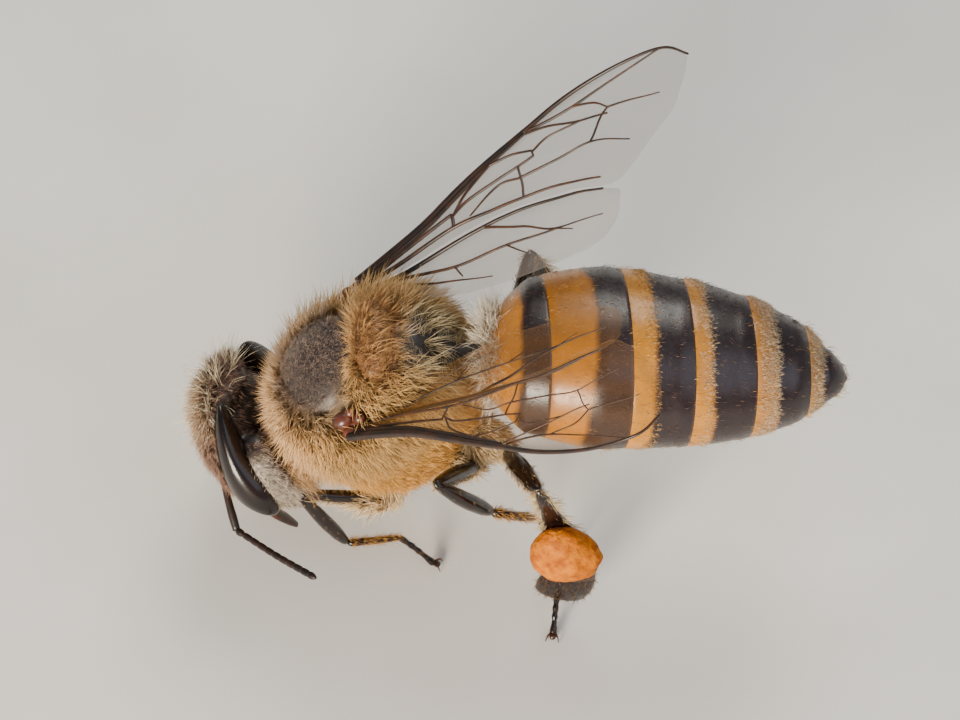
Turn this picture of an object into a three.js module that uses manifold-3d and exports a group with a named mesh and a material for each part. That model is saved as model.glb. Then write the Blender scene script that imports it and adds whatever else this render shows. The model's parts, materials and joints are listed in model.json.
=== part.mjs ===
// A worker of the eastern honey bee, Apis cerana, at life size: a still model that stands on six feet with its
// wings raised, its head bent down and a load of pollen packed on each hind leg.
// Millimetres, +Z up. The bee heads toward -X, and its left side is -Y. The solids reach out to the tips of the
// coat, so that the body, head and thorax are a little fuller than the skin beneath the hair.
import * as THREE from "three";
import { mergeVertices } from "three/addons/utils/BufferGeometryUtils.js";
import Module from "manifold-3d";

const wasm = await Module();
wasm.setup();

// ---------------------------------------------------------------- driving dimensions

const CUT = 0.04; // the thin cut between one piece and the next
const FLOOR_FLAT = 0; // height of the flats under the six feet
const SIDES = { left: -1, right: 1 };

const THORAX_HEIGHT = 3.4; // centre of the thorax above the floor
const THORAX_PITCH = THREE.MathUtils.degToRad(40); // the thorax leans nose down
const THORAX_MIDDLE_X = -0.18;
const THORAX_HALF = { length: 2.14, width: 1.92, height: 1.95 };
const THORAX_ARCH = 0.2; // how much the back rises at its middle
// The scutellum and the tegulae, placed in the thorax's own frame.
const SCUTELLUM = { back: 1.06, up: 1.62, half: { length: 0.42, width: 1.0, height: 0.44 } };
const TEGULA = { back: 0.35, side: 1.36, up: 1.34, half: { length: 0.36, width: 0.3, height: 0.3 } };

const HEAD_CENTRE = new THREE.Vector3(-2.52, -0.04, 2.16);
const HEAD_TURN = { pitch: 42, roll: 22, yaw: 4 }; // degrees: bent down, the left cheek lifted
const HEAD_HALF = { face: 0.88, back: 0.84, width: 1.58, crown: 1.36, mouth: 1.66 };
const EYE_HALF = { depth: 0.48, width: 0.48, height: 1.2 };
const EYE_SEAT = { back: 0.35, side: 1.27, up: 0.14 };
const EYE_RAKE = 0.16; // how far an eye's upper end leans back

const LIMB_SIDES = 7; // faces round a leg or feeler
const FEELER_RADIUS = 0.25; // half the thickness of legs' and feelers' thinnest stretches
const SCAPE_SOCKET = { forward: -0.86, side: 0.36, up: -0.3 }; // on the face, in the head's own frame
const FEELERS = {
  left: { elbow: [-2.74, -1.42, 0.95], tip: [-1.34, -2.72, 1.56] },
  right: { elbow: [-3.0, 0.9, 0.8], tip: [-2.3, 2.25, 0.42] },
};

const ABDOMEN_RATIO = 0.87; // height of its cross section over its width
const ABDOMEN_AXIS = [
  new THREE.Vector3(1.55, 0, 4.55),
  new THREE.Vector3(3.2, 0, 4.68),
  new THREE.Vector3(5.6, 0, 4.52),
  new THREE.Vector3(8.0, 0, 4.22),
];
// Half width of the abdomen at shares of its length, from the waist to the tip.
const ABDOMEN_GIRTH = [
  [0.0, 0.35],
  [0.04, 0.95],
  [0.11, 1.36],
  [0.2, 1.6],
  [0.32, 1.68],
  [0.45, 1.62],
  [0.6, 1.5],
  [0.74, 1.28],
  [0.86, 0.95],
  [0.94, 0.55],
  [1.0, 0.0],
];
const SEGMENT_ENDS = [0, 0.19, 0.42, 0.595, 0.755, 0.905, 1]; // rear edges of the six rings
const RING_STEP = 0.05; // how far a ring's rear edge stands over the ring behind it

const WING_THICKNESS = 0.5;
const FOREWING_LENGTH = 7.35;
const FOREWING_OUTLINE = [
  [0.02, -0.035],
  [0.22, -0.05],
  [0.42, -0.094],
  [0.645, -0.127],
  [0.8, -0.118],
  [0.93, -0.07],
  [1.0, 0.005],
  [0.955, 0.1],
  [0.86, 0.17],
  [0.74, 0.232],
  [0.6, 0.2],
  [0.35, 0.112],
  [0.12, 0.05],
  [0.02, 0.035],
];
const HINDWING_OUTLINE = [
  [0.12, 0.09],
  [0.35, 0.15],
  [0.6, 0.235],
  [0.71, 0.272],
  [0.69, 0.33],
  [0.6, 0.355],
  [0.48, 0.31],
  [0.33, 0.27],
  [0.16, 0.19],
];
// Each wing: where it leaves the thorax, the way it reaches, and the way from its front edge to its rear edge.
const WINGS = {
  left: {
    root: new THREE.Vector3(-0.56, -1.62, 4.22),
    reach: new THREE.Vector3(0.728, -0.3265, 0.6035),
    chord: new THREE.Vector3(0.44, 0.89, 0.12),
  },
  right: {
    root: new THREE.Vector3(-0.56, 1.62, 4.22),
    reach: new THREE.Vector3(0.772, 0.318, 0.55),
    chord: new THREE.Vector3(0.2246, -0.9467, 0.2334),
  },
};

// Each leg on the left side, by the points where it bends; the right side mirrors them.
const LEGS = {
  fore: {
    root: [-0.1, -0.62, 1.95],
    trochanter: [0.0, -1.05, 1.5],
    knee: [-1.42, -1.56, 2.06],
    ankle: [-0.78, -1.52, 0.76],
    heel: [0.28, -1.36, 0.72],
    foot: [0.76, -1.42, 0.2],
    femur: [0.26, 0.31, 0.27],
    tibia: [0.25, 0.29, 0.28],
    basitarsus: [0.25, 0.25],
  },
  mid: {
    root: [1.05, -0.62, 2.35],
    trochanter: [1.54, -0.92, 2.5],
    knee: [0.84, -2.13, 3.72],
    ankle: [1.84, -1.75, 2.24],
    heel: [2.55, -1.4, 1.16],
    foot: [3.0, -1.4, 0.2],
    femur: [0.26, 0.33, 0.28],
    tibia: [0.26, 0.32, 0.3],
    basitarsus: [0.27, 0.26],
  },
  hind: {
    root: [1.5, -0.6, 3.14],
    trochanter: [2.04, -0.95, 3.04],
    knee: [2.55, -2.42, 3.95],
    ankle: [3.36, -2.3, 1.56],
    heel: [2.96, -2.28, 0.42],
    foot: [2.92, -2.86, 0.2],
    femur: [0.28, 0.36, 0.3],
    tibia: [0.26, 0.36, 0.48],
    basitarsus: [0.44, 0.36],
  },
};
const HIND_BLADE = 0.25; // half thickness of the hind tibia and basitarsus, which are broad blades
const FOOT_RADIUS = 0.28;

const POLLEN_HALF = { length: 0.72, width: 0.66, depth: 0.42 };
const POLLEN_ALONG = 0.67; // where on the hind tibia the load is centred
const POLLEN_OUT = 0.38; // how far outward of the tibia's middle the load is centred

// ---------------------------------------------------------------- shaping

// A material in the piece's own colour.
function finish(colour, roughness) {
  return new THREE.MeshStandardMaterial({ color: colour, roughness, metalness: 0 });
}

const HAIR = 0xb8a078;
const SHELL = 0x2b1c1c;
const AMBER = 0xc8842e;

// A closed solid from any closed three.js geometry.
function solidOf(geometry) {
  const bare = geometry.index ? geometry.toNonIndexed() : geometry.clone();
  bare.deleteAttribute("normal");
  bare.deleteAttribute("uv");
  const merged = mergeVertices(bare, 1e-4);
  return new wasm.Manifold(
    new wasm.Mesh({
      numProp: 3,
      vertProperties: merged.attributes.position.array,
      triVerts: new Uint32Array(merged.index.array),
    }),
  );
}

// The geometry of a solid, for a mesh.
function geometryOf(solid) {
  const mesh = solid.getMesh();
  const places = new Float32Array(mesh.numVert * 3);
  for (let i = 0; i < mesh.numVert; i += 1) {
    const start = i * mesh.numProp;
    places.set(mesh.vertProperties.subarray(start, start + 3), i * 3);
  }
  const geometry = new THREE.BufferGeometry();
  geometry.setAttribute("position", new THREE.BufferAttribute(places, 3));
  geometry.setIndex(new THREE.BufferAttribute(new Uint32Array(mesh.triVerts), 1));
  geometry.computeVertexNormals();
  return geometry;
}

// A geometry whose every point is moved by a function of the point.
function reshape(geometry, move) {
  const places = geometry.attributes.position;
  const point = new THREE.Vector3();
  for (let i = 0; i < places.count; i += 1) {
    point.fromBufferAttribute(places, i);
    const moved = move(point);
    places.setXYZ(i, moved.x, moved.y, moved.z);
  }
  return geometry;
}

// A value read between pairs of [share, value].
function readAlong(pairs, share) {
  const last = pairs.length - 1;
  if (share >= pairs[last][0]) return pairs[last][1];
  const next = Math.max(1, pairs.findIndex((pair) => pair[0] > share));
  const [a, from] = pairs[next - 1];
  const [b, to] = pairs[next];
  return THREE.MathUtils.lerp(from, to, (share - a) / (b - a));
}

// The frame that stands at a point with its Z along one direction and its X as near as it can to another.
function frameAlong(origin, along, across) {
  const z = along.clone().normalize();
  const x = across.clone().addScaledVector(z, -across.dot(z)).normalize();
  const y = new THREE.Vector3().crossVectors(z, x);
  return new THREE.Matrix4().makeBasis(x, y, z).setPosition(origin);
}

// A limb between two points, by its radii from end to end, with round ends. A blade is the half thickness of a
// limb that is flat: it keeps that thickness however broad the limb grows across.
function limb(from, to, radii, { blade = Infinity, across = new THREE.Vector3(0, 0, 1), grow = 0 } = {}) {
  const start = new THREE.Vector3(...from);
  const along = new THREE.Vector3(...to).sub(start);
  const length = along.length();
  const stations = radii.map((radius, i) => [(length * i) / (radii.length - 1), radius + grow]);
  const [first, last] = [stations[0][1], stations[stations.length - 1][1]];
  const profile = [
    new THREE.Vector2(0, -first),
    new THREE.Vector2(first * Math.SQRT1_2, -first * Math.SQRT1_2),
    ...stations.map(([height, radius]) => new THREE.Vector2(radius, height)),
    new THREE.Vector2(last * Math.SQRT1_2, length + last * Math.SQRT1_2),
    new THREE.Vector2(0, length + last),
  ];
  const shape = new THREE.LatheGeometry(profile, LIMB_SIDES);
  shape.rotateX(Math.PI / 2);
  reshape(shape, (p) => {
    const radius = readAlong(stations, THREE.MathUtils.clamp(p.z, 0, length));
    return p.setY(p.y * Math.min(1, (blade + grow) / radius));
  });
  return solidOf(shape.applyMatrix4(frameAlong(start, along, across)));
}

// The largest body of a solid, without the slivers a cut can leave.
function largest(solid) {
  return solid.decompose().reduce((best, body) => (body.volume() > best.volume() ? body : best));
}

// An egg-shaped solid by a function from the unit sphere.
function egg(around, rows, move) {
  return solidOf(reshape(new THREE.SphereGeometry(1, around, rows), move));
}

const bee = new THREE.Group();

// Hangs a solid in the model as a named mesh.
function addPiece(name, solid, material) {
  const mesh = new THREE.Mesh(geometryOf(largest(solid)), material);
  mesh.name = name;
  bee.add(mesh);
  return mesh;
}

// ---------------------------------------------------------------- thorax, scutellum and wing scales

const thoraxFrame = new THREE.Matrix4()
  .makeRotationY(-THORAX_PITCH)
  .setPosition(THORAX_MIDDLE_X, 0, THORAX_HEIGHT);

// The thorax narrows to the neck in front and to the waist behind, and its back arches.
function thoraxSolid(grow) {
  return egg(20, 14, (p) => {
    const taper = 1 - 0.1 * p.x * p.x - 0.06 * Math.max(0, -p.x);
    const point = new THREE.Vector3(
      p.x * (THORAX_HALF.length + grow),
      p.y * (THORAX_HALF.width + grow) * taper,
      p.z * (THORAX_HALF.height + grow) * taper + THORAX_ARCH * (1 - p.x * p.x),
    );
    return point.applyMatrix4(thoraxFrame);
  });
}

// The scutellum is a rounded bolster across the back, behind the shield of the thorax.
function scutellumSolid(grow) {
  return egg(12, 8, (p) => {
    const bow = p.y * p.y;
    const point = new THREE.Vector3(
      SCUTELLUM.back - 0.22 * bow + p.x * (SCUTELLUM.half.length + grow),
      p.y * (SCUTELLUM.half.width + grow),
      SCUTELLUM.up - 0.3 * bow + p.z * (SCUTELLUM.half.height + grow),
    );
    return point.applyMatrix4(thoraxFrame);
  });
}

// A tegula is the small round scale over the root of a forewing.
function tegulaSolid(side, grow) {
  return egg(8, 6, (p) => {
    const point = new THREE.Vector3(
      TEGULA.back + p.x * (TEGULA.half.length + grow),
      side * TEGULA.side + p.y * (TEGULA.half.width + grow),
      TEGULA.up + p.z * (TEGULA.half.height + grow),
    );
    return point.applyMatrix4(thoraxFrame);
  });
}

// ---------------------------------------------------------------- head, eyes, jaws and feelers

const headFrame = new THREE.Matrix4().makeRotationFromEuler(
  new THREE.Euler(
    THREE.MathUtils.degToRad(-HEAD_TURN.roll),
    THREE.MathUtils.degToRad(-HEAD_TURN.pitch),
    THREE.MathUtils.degToRad(HEAD_TURN.yaw),
    "ZYX",
  ),
);
headFrame.setPosition(HEAD_CENTRE);

// The head is a rounded triangle from the front, widest across the eyes and drawn in to the mouth.
function headSolid(grow) {
  return egg(20, 15, (p) => {
    const half = HEAD_HALF;
    const low = Math.max(0, -p.z);
    const depth = p.x < 0 ? half.face : half.back * (1 - 0.25 * (1 - p.z * p.z));
    const height = p.z > 0 ? half.crown : half.mouth;
    const point = new THREE.Vector3(
      p.x * (depth + grow) - 0.16 * low,
      p.y * (half.width + grow) * (1 - 0.3 * low * low),
      p.z * (height + grow),
    );
    return point.applyMatrix4(headFrame);
  });
}

// A compound eye is a long kidney-shaped dome on the side of the head, nearest its fellow at the crown.
function eyeSolid(side, grow) {
  return egg(12, 10, (p) => {
    const lean = 0.24 * p.z + 0.1 * p.z * p.z;
    const point = new THREE.Vector3(
      EYE_SEAT.back + EYE_RAKE * p.z + p.x * (EYE_HALF.depth + grow) * (1 - 0.25 * p.z * p.z),
      side * (EYE_SEAT.side - lean) + p.y * (EYE_HALF.width + grow),
      EYE_SEAT.up + p.z * (EYE_HALF.height + grow),
    );
    return point.applyMatrix4(headFrame);
  });
}

// A point of the head's own frame, in the model.
function onHead(x, y, z) {
  return new THREE.Vector3(x, y, z).applyMatrix4(headFrame).toArray();
}

function jawSolid(side, grow) {
  const hinge = onHead(-0.42, side * 0.62, -1.42);
  const tip = onHead(-0.5, side * 0.3, -2.02);
  return limb(hinge, tip, [0.27, 0.25], { grow });
}

function tongueSolid(grow) {
  return limb(onHead(-0.05, 0, -1.5), onHead(0.45, 0, -0.75), [0.27, 0.25], { grow });
}

// The bends of a feeler: its socket on the face, its elbow and its tip.
function feelerPoints(name) {
  const { forward, side, up } = SCAPE_SOCKET;
  return [onHead(forward, SIDES[name] * side, up), FEELERS[name].elbow, FEELERS[name].tip];
}

// ---------------------------------------------------------------- abdomen

const abdomenCurve = new THREE.CatmullRomCurve3(ABDOMEN_AXIS);

// One ring of the abdomen: a slice of the whole, whose rear edge stands a little over the ring behind.
function ringSolid(index) {
  const [from, to] = [SEGMENT_ENDS[index], SEGMENT_ENDS[index + 1]];
  const last = index === SEGMENT_ENDS.length - 2;
  const length = abdomenCurve.getLength();
  const start = from + CUT / length;
  const rows = 4;
  const profile = [new THREE.Vector2(0, start)];
  for (let i = 0; i <= rows; i += 1) {
    const share = THREE.MathUtils.lerp(start, to, i / rows);
    const step = last ? 0 : RING_STEP * (i / rows);
    const inset = i === 0 ? RING_STEP : 0;
    profile.push(new THREE.Vector2(readAlong(ABDOMEN_GIRTH, share) + step - inset, share));
  }
  if (!last) profile.push(new THREE.Vector2(0, to));
  const around = last ? 14 : 20;
  return solidOf(
    reshape(new THREE.LatheGeometry(profile, around), (p) => {
      const centre = abdomenCurve.getPointAt(p.y);
      const tangent = abdomenCurve.getTangentAt(p.y);
      const up = new THREE.Vector3(-tangent.z, 0, tangent.x);
      return centre.addScaledVector(up, p.x * ABDOMEN_RATIO).add(new THREE.Vector3(0, p.z, 0));
    }),
  );
}

// ---------------------------------------------------------------- wings

// A wing blade from its outline, which is in shares of the forewing's length.
function wingSolid(wing, outline, grow) {
  const curve = new THREE.CatmullRomCurve3(
    outline.map(([x, y]) => new THREE.Vector3(x * FOREWING_LENGTH, y * FOREWING_LENGTH, 0)),
    true,
    "centripetal",
  );
  const points = curve.getPoints(30).slice(0, -1).map((p) => new THREE.Vector2(p.x, p.y));
  const middle = points.reduce((sum, p) => sum.add(p), new THREE.Vector2()).divideScalar(points.length);
  if (grow) {
    points.forEach((p) => p.addScaledVector(p.clone().sub(middle).normalize(), grow));
  }
  const depth = WING_THICKNESS + 2 * grow;
  const blade = new THREE.ExtrudeGeometry(new THREE.Shape(points), { depth, bevelEnabled: false });
  blade.translate(0, 0, -depth / 2);
  const along = wing.reach.clone().normalize();
  const across = wing.chord.clone().addScaledVector(along, -wing.chord.dot(along)).normalize();
  const normal = new THREE.Vector3().crossVectors(along, across);
  const basis = new THREE.Matrix4().makeBasis(along, across, normal).setPosition(wing.root);
  return solidOf(blade.applyMatrix4(basis));
}

// ---------------------------------------------------------------- legs and pollen

// A point of a leg on either side.
function onSide([x, y, z], side) {
  return [x, -side * y, z];
}

// The four pieces of a leg, from the body to the foot, each cut clear of the one before.
function legSolids(kind, side) {
  const leg = LEGS[kind];
  const at = (name) => onSide(leg[name], side);
  const flat = kind === "hind" ? { blade: HIND_BLADE, across: new THREE.Vector3(1, 0, 0.2) } : {};
  const coxa = (grow) => limb(at("root"), at("trochanter"), [0.36, 0.28], { grow });
  const femur = (grow) => limb(at("trochanter"), at("knee"), leg.femur, { grow });
  const tibia = (grow) => limb(at("knee"), at("ankle"), leg.tibia, { ...flat, grow });
  const heel = limb(at("ankle"), at("heel"), leg.basitarsus, flat);
  const [footX, footY] = at("foot");
  const sole = limb(at("heel"), at("foot"), [FEELER_RADIUS, FOOT_RADIUS]);
  const floor = solidOf(new THREE.BoxGeometry(4, 4, 2).translate(footX, footY, FLOOR_FLAT - 1));
  return {
    coxa: coxa(0),
    femur: femur(0).subtract(coxa(CUT)),
    tibia: tibia(0).subtract(femur(CUT)),
    tarsus: heel.add(sole).subtract(tibia(CUT)).subtract(floor),
    socket: coxa(CUT).add(femur(CUT)),
    shank: tibia(CUT),
  };
}

// The load of pollen: a smooth egg packed on the outer face of the hind tibia.
function pollenSolid(side) {
  const leg = LEGS.hind;
  const knee = new THREE.Vector3(...onSide(leg.knee, side));
  const ankle = new THREE.Vector3(...onSide(leg.ankle, side));
  const along = ankle.clone().sub(knee);
  const outward = new THREE.Vector3(0, side, 0);
  const centre = knee.clone().addScaledVector(along, POLLEN_ALONG).addScaledVector(outward, POLLEN_OUT);
  const frame = frameAlong(centre, along, new THREE.Vector3(1, 0, 0));
  return egg(12, 9, (p) => {
    const swell = 1 + 0.14 * p.z;
    return new THREE.Vector3(
      p.x * POLLEN_HALF.width * swell,
      p.y * POLLEN_HALF.depth * swell,
      p.z * POLLEN_HALF.length,
    ).applyMatrix4(frame);
  });
}

// ---------------------------------------------------------------- assembly

const coat = finish(HAIR, 0.95);
const shell = finish(SHELL, 0.35);
const membrane = finish(0xcdb79a, 0.3);

let thorax = thoraxSolid(0).subtract(headSolid(CUT)).subtract(tongueSolid(CUT)).subtract(scutellumSolid(CUT));
addPiece("scutellum", scutellumSolid(0), finish(0x9a6030, 0.6));

let head = headSolid(0);
for (const [name, side] of Object.entries(SIDES)) {
  head = head.subtract(eyeSolid(side, CUT)).subtract(jawSolid(side, CUT));
  addPiece(`eye_${name}`, eyeSolid(side, 0), finish(0x1a1012, 0.12));
  const [socket, elbow, tip] = feelerPoints(name);
  const scape = (grow) => limb(socket, elbow, [FEELER_RADIUS, FEELER_RADIUS], { grow });
  head = head.subtract(scape(CUT));
  addPiece(`scape_${name}`, scape(0), shell);
  const flagellum = limb(elbow, tip, [FEELER_RADIUS, FEELER_RADIUS, FEELER_RADIUS], {});
  addPiece(`flagellum_${name}`, flagellum.subtract(scape(CUT)), shell);
}
addPiece("mandible_left", jawSolid(SIDES.left, 0), shell);
addPiece("mandible_right", jawSolid(SIDES.right, 0).subtract(jawSolid(SIDES.left, CUT)), shell);
const jaws = jawSolid(SIDES.left, CUT).add(jawSolid(SIDES.right, CUT));
addPiece("proboscis", tongueSolid(0).subtract(jaws), finish(0x6a3a1c, 0.5));
addPiece("head", head.subtract(tongueSolid(CUT)), coat);

for (const [name, side] of Object.entries(SIDES)) {
  const wing = WINGS[name];
  const forewing = wingSolid(wing, FOREWING_OUTLINE, 0);
  const hindwing = wingSolid(wing, HINDWING_OUTLINE, 0);
  const body = thoraxSolid(CUT).add(tegulaSolid(side, CUT)).add(scutellumSolid(CUT));
  thorax = thorax.subtract(tegulaSolid(side, CUT));
  addPiece(`tegula_${name}`, tegulaSolid(side, 0), finish(0x6a2a1c, 0.25));
  addPiece(`forewing_${name}`, forewing.subtract(body), membrane);
  addPiece(`hindwing_${name}`, hindwing.subtract(body).subtract(wingSolid(wing, FOREWING_OUTLINE, CUT)), membrane);

  for (const kind of Object.keys(LEGS)) {
    const leg = legSolids(kind, side);
    thorax = thorax.subtract(leg.socket);
    addPiece(`${kind}_coxa_${name}`, leg.coxa, shell);
    addPiece(`${kind}_femur_${name}`, leg.femur, shell);
    addPiece(`${kind}_tibia_${name}`, leg.tibia, shell);
    addPiece(`${kind}_tarsus_${name}`, leg.tarsus, shell);
    if (kind === "hind") {
      const load = pollenSolid(side).subtract(leg.shank).subtract(leg.tarsus);
      addPiece(`pollen_${name}`, load, finish(0xf08a1a, 0.7));
    }
  }
}
addPiece("thorax", thorax, coat);

for (let i = 0; i < SEGMENT_ENDS.length - 1; i += 1) {
  const ring = ringSolid(i);
  const cut = i === 0 ? ring.subtract(thoraxSolid(CUT)) : ring;
  addPiece(`abdomen_ring_${i + 1}`, cut, finish(i % 2 ? AMBER : SHELL, 0.4));
}

// The origin is under the middle of the whole bee, on the level of its feet.
const extent = new THREE.Box3().setFromObject(bee);
const middle = extent.getCenter(new THREE.Vector3());
bee.position.set(-middle.x, -middle.y, 0);

export default bee;
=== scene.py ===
"""Dresses a still, life-size model of an eastern honey bee worker.

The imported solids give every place. Shapes are worked out in millimetres in the model's own frame, where
the bee heads toward -X and its left side is -Y. Each finished mesh is scaled to metres at the end.
"""

import json
import logging
import math
from dataclasses import dataclass, field
from enum import Enum
from functools import partial
from typing import Callable

import bpy
import numpy as np
from mathutils import Euler, Matrix, Vector, noise
from mathutils.bvhtree import BVHTree

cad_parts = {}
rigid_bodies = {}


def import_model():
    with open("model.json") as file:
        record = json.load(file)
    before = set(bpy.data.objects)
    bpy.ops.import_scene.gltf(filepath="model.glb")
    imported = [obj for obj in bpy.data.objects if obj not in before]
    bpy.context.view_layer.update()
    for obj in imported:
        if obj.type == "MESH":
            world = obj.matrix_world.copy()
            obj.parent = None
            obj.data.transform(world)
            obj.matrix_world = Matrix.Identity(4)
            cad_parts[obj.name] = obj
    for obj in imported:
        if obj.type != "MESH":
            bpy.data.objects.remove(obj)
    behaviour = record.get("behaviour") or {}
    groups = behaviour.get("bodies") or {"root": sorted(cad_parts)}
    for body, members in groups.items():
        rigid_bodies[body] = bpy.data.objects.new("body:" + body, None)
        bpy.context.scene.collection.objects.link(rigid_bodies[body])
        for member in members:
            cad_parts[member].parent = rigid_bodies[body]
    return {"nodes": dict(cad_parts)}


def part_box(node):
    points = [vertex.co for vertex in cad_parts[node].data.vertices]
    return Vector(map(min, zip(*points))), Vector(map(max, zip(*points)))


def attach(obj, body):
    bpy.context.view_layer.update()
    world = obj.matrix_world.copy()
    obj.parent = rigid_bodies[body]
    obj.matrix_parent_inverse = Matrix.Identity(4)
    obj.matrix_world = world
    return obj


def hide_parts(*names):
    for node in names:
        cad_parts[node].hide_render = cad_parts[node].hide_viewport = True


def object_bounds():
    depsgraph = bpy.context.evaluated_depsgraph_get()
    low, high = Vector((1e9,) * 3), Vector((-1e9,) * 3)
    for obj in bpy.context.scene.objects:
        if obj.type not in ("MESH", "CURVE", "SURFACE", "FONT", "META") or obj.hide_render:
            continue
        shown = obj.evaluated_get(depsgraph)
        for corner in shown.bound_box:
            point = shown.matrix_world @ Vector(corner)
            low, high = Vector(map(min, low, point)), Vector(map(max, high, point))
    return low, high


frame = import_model()
CAD_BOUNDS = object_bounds()

LOG = logging.getLogger("bee")
MM = 0.001  # metres in a millimetre
SEED = 11
BODY = "root"

Array = np.ndarray
Points = np.ndarray
Faces = list[tuple[int, ...]]
Shape = tuple[Points, Faces]
Span = tuple[float, float]
Triple = tuple[float, float, float]
Colour = tuple[float, float, float, float]
Material = bpy.types.Material
Piece = bpy.types.Object
Mesh = bpy.types.Mesh
Tree = bpy.types.NodeTree
Node = bpy.types.Node
Socket = bpy.types.NodeSocket
Items = bpy.types.bpy_prop_collection
Unwrap = Callable[[Points], Array]

AFT, ACROSS, UP = np.eye(3)  # in the model, and in the head's and the thorax's own frames


# ---- small tools

def linear(code: str) -> Colour:
    """Turns an sRGB hex colour such as "#2B1C1C" into linear RGBA.

    Args:
        code: The colour.

    Returns:
        Red, green, blue and alpha.
    """
    parts = [int(code[i:i + 2], 16) / 255 for i in (1, 3, 5)]
    red, green, blue = (c / 12.92 if c <= 0.04045 else ((c + 0.055) / 1.055) ** 2.4 for c in parts)
    return (red, green, blue, 1.0)


def smoothstep(low: float, high: float, value: Array) -> Array:
    """Eases from 0 at low to 1 at high."""
    share = np.clip((value - low) / (high - low), 0, 1)
    return share * share * (3 - 2 * share)


def hump(value: Array, width: float) -> Array:
    """A smooth hump that is 1 where the value is 0."""
    return np.exp(-((value / width) ** 2))


def unit(vectors: Array) -> Array:
    """Scales vectors to length one."""
    return vectors / np.maximum(np.linalg.norm(vectors, axis=-1, keepdims=True), 1e-9)


def spread(stops: tuple[float, ...], count: int) -> Array:
    """Shares a few values out evenly over a number of places."""
    return np.interp(np.linspace(0, 1, count), np.linspace(0, 1, len(stops)), stops)


def lay(base: str | Array, size: int, *layers: tuple[Array, str | Array]) -> Array:
    """Lays colours over a base, each by its own share at each point.

    Args:
        base: A hex colour, or a linear colour for each point.
        size: How many points there are.
        layers: Shares and colours, from the lowest to the topmost.

    Returns:
        The linear colour of each point.
    """
    tint = np.tile(linear(base), (size, 1)) if isinstance(base, str) else base
    for share, code in layers:
        goal = np.array(linear(code)) if isinstance(code, str) else code
        tint = tint + share[:, None] * (goal - tint)
    return tint


def add_node(
    tree: Tree, kind: str, settings: dict | None = None, inputs: dict | None = None
) -> Node:
    """Adds a node with its settings and its inputs.

    Args:
        tree: The tree that gets the node.
        kind: The node's type name.
        settings: Property values, set before the inputs.
        inputs: Values, output sockets, or nodes for their first output, by input name or number.

    Returns:
        The new node.
    """
    made = tree.nodes.new(kind)
    for key, value in (settings or {}).items():
        setattr(made, key, value)
    for key, value in (inputs or {}).items():
        socket = made.inputs[key] if isinstance(key, int) else pick(made.inputs, key)
        if isinstance(value, Node):
            value = pick(value.outputs)
        if isinstance(value, Socket):
            tree.links.new(value, socket)
        else:
            socket.default_value = value
    return made


def pick(sockets: Items, name: str | None = None) -> Socket:
    """The first enabled socket, or the one of a name."""
    return next(s for s in sockets if s.enabled and name in (None, s.name))


@dataclass(frozen=True)
class LocalFrame:
    """A body part's own frame: an origin in millimetres and a turn whose columns are its axes."""

    origin: Array
    turn: Array

    def outward(self, points: Points) -> Points:
        """Takes points of the part's frame into the model."""
        return points @ self.turn.T + self.origin

    def inward(self, points: Points) -> Points:
        """Takes points of the model into the part's frame."""
        return (points - self.origin) @ self.turn

    def aim(self, ways: Array) -> Array:
        """Takes directions of the part's frame into the model."""
        return ways @ self.turn.T


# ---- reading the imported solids

def read(items: Items, key: str = "co") -> Array:
    """Reads a vector of each item, such as the place or the normal of each point of a mesh.

    Args:
        items: The items.
        key: Which of their vectors to read.

    Returns:
        One row for each item.
    """
    values = np.empty(len(items) * 3)
    items.foreach_get(key, values)
    return values.reshape(-1, 3)


def node_points(name: str) -> Points:
    """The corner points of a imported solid, in millimetres."""
    return read(frame["nodes"][name].data.vertices) / MM


def node_triangles(name: str) -> Array:
    """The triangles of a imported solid, as an array of (triangle, corner, axis) in millimetres.

    Args:
        name: The solid's name.

    Returns:
        The corners of each triangle.
    """
    mesh = frame["nodes"][name].data
    mesh.calc_loop_triangles()
    picks = np.empty(len(mesh.loop_triangles) * 3, dtype=int)
    mesh.loop_triangles.foreach_get("vertices", picks)
    return node_points(name)[picks.reshape(-1, 3)]


def box_middle(name: str) -> Array:
    """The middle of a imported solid's box, in millimetres."""
    low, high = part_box(name)
    return (np.array(low) + np.array(high)) / 2 / MM


def centreline(name: str) -> tuple[Array, Array]:
    """Finds the two ends of a straight limb along its long axis.

    Args:
        name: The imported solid's name.

    Returns:
        The ends of the limb, out to its rounded tips.
    """
    corners = node_triangles(name)
    areas = np.linalg.norm(np.cross(corners[:, 1] - corners[:, 0], corners[:, 2] - corners[:, 0]), axis=1)
    middles = corners.mean(axis=1)
    centre = np.average(middles, axis=0, weights=areas)
    scatter = (middles - centre).T @ ((middles - centre) * areas[:, None])
    axis = np.linalg.eigh(scatter)[1][:, -1]
    shares = (node_points(name) - centre) @ axis
    return centre + axis * shares.min(), centre + axis * shares.max()


def limb_ends(name: str, near: Array, weights: Triple = (1, 1, 1)) -> list[Array]:
    """The two ends of a limb, the end nearer to a point first, by distances weighted along each axis."""
    return sorted(centreline(name), key=lambda end: np.linalg.norm((end - near) * weights))


def far_joint(name: str, near: Array, cap: float) -> Array:
    """The joint at the far end of a limb, one cap radius inside its rounded tip."""
    ends = limb_ends(name, near)
    return ends[1] - unit(ends[1] - ends[0]) * cap


# ---- making meshes

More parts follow.
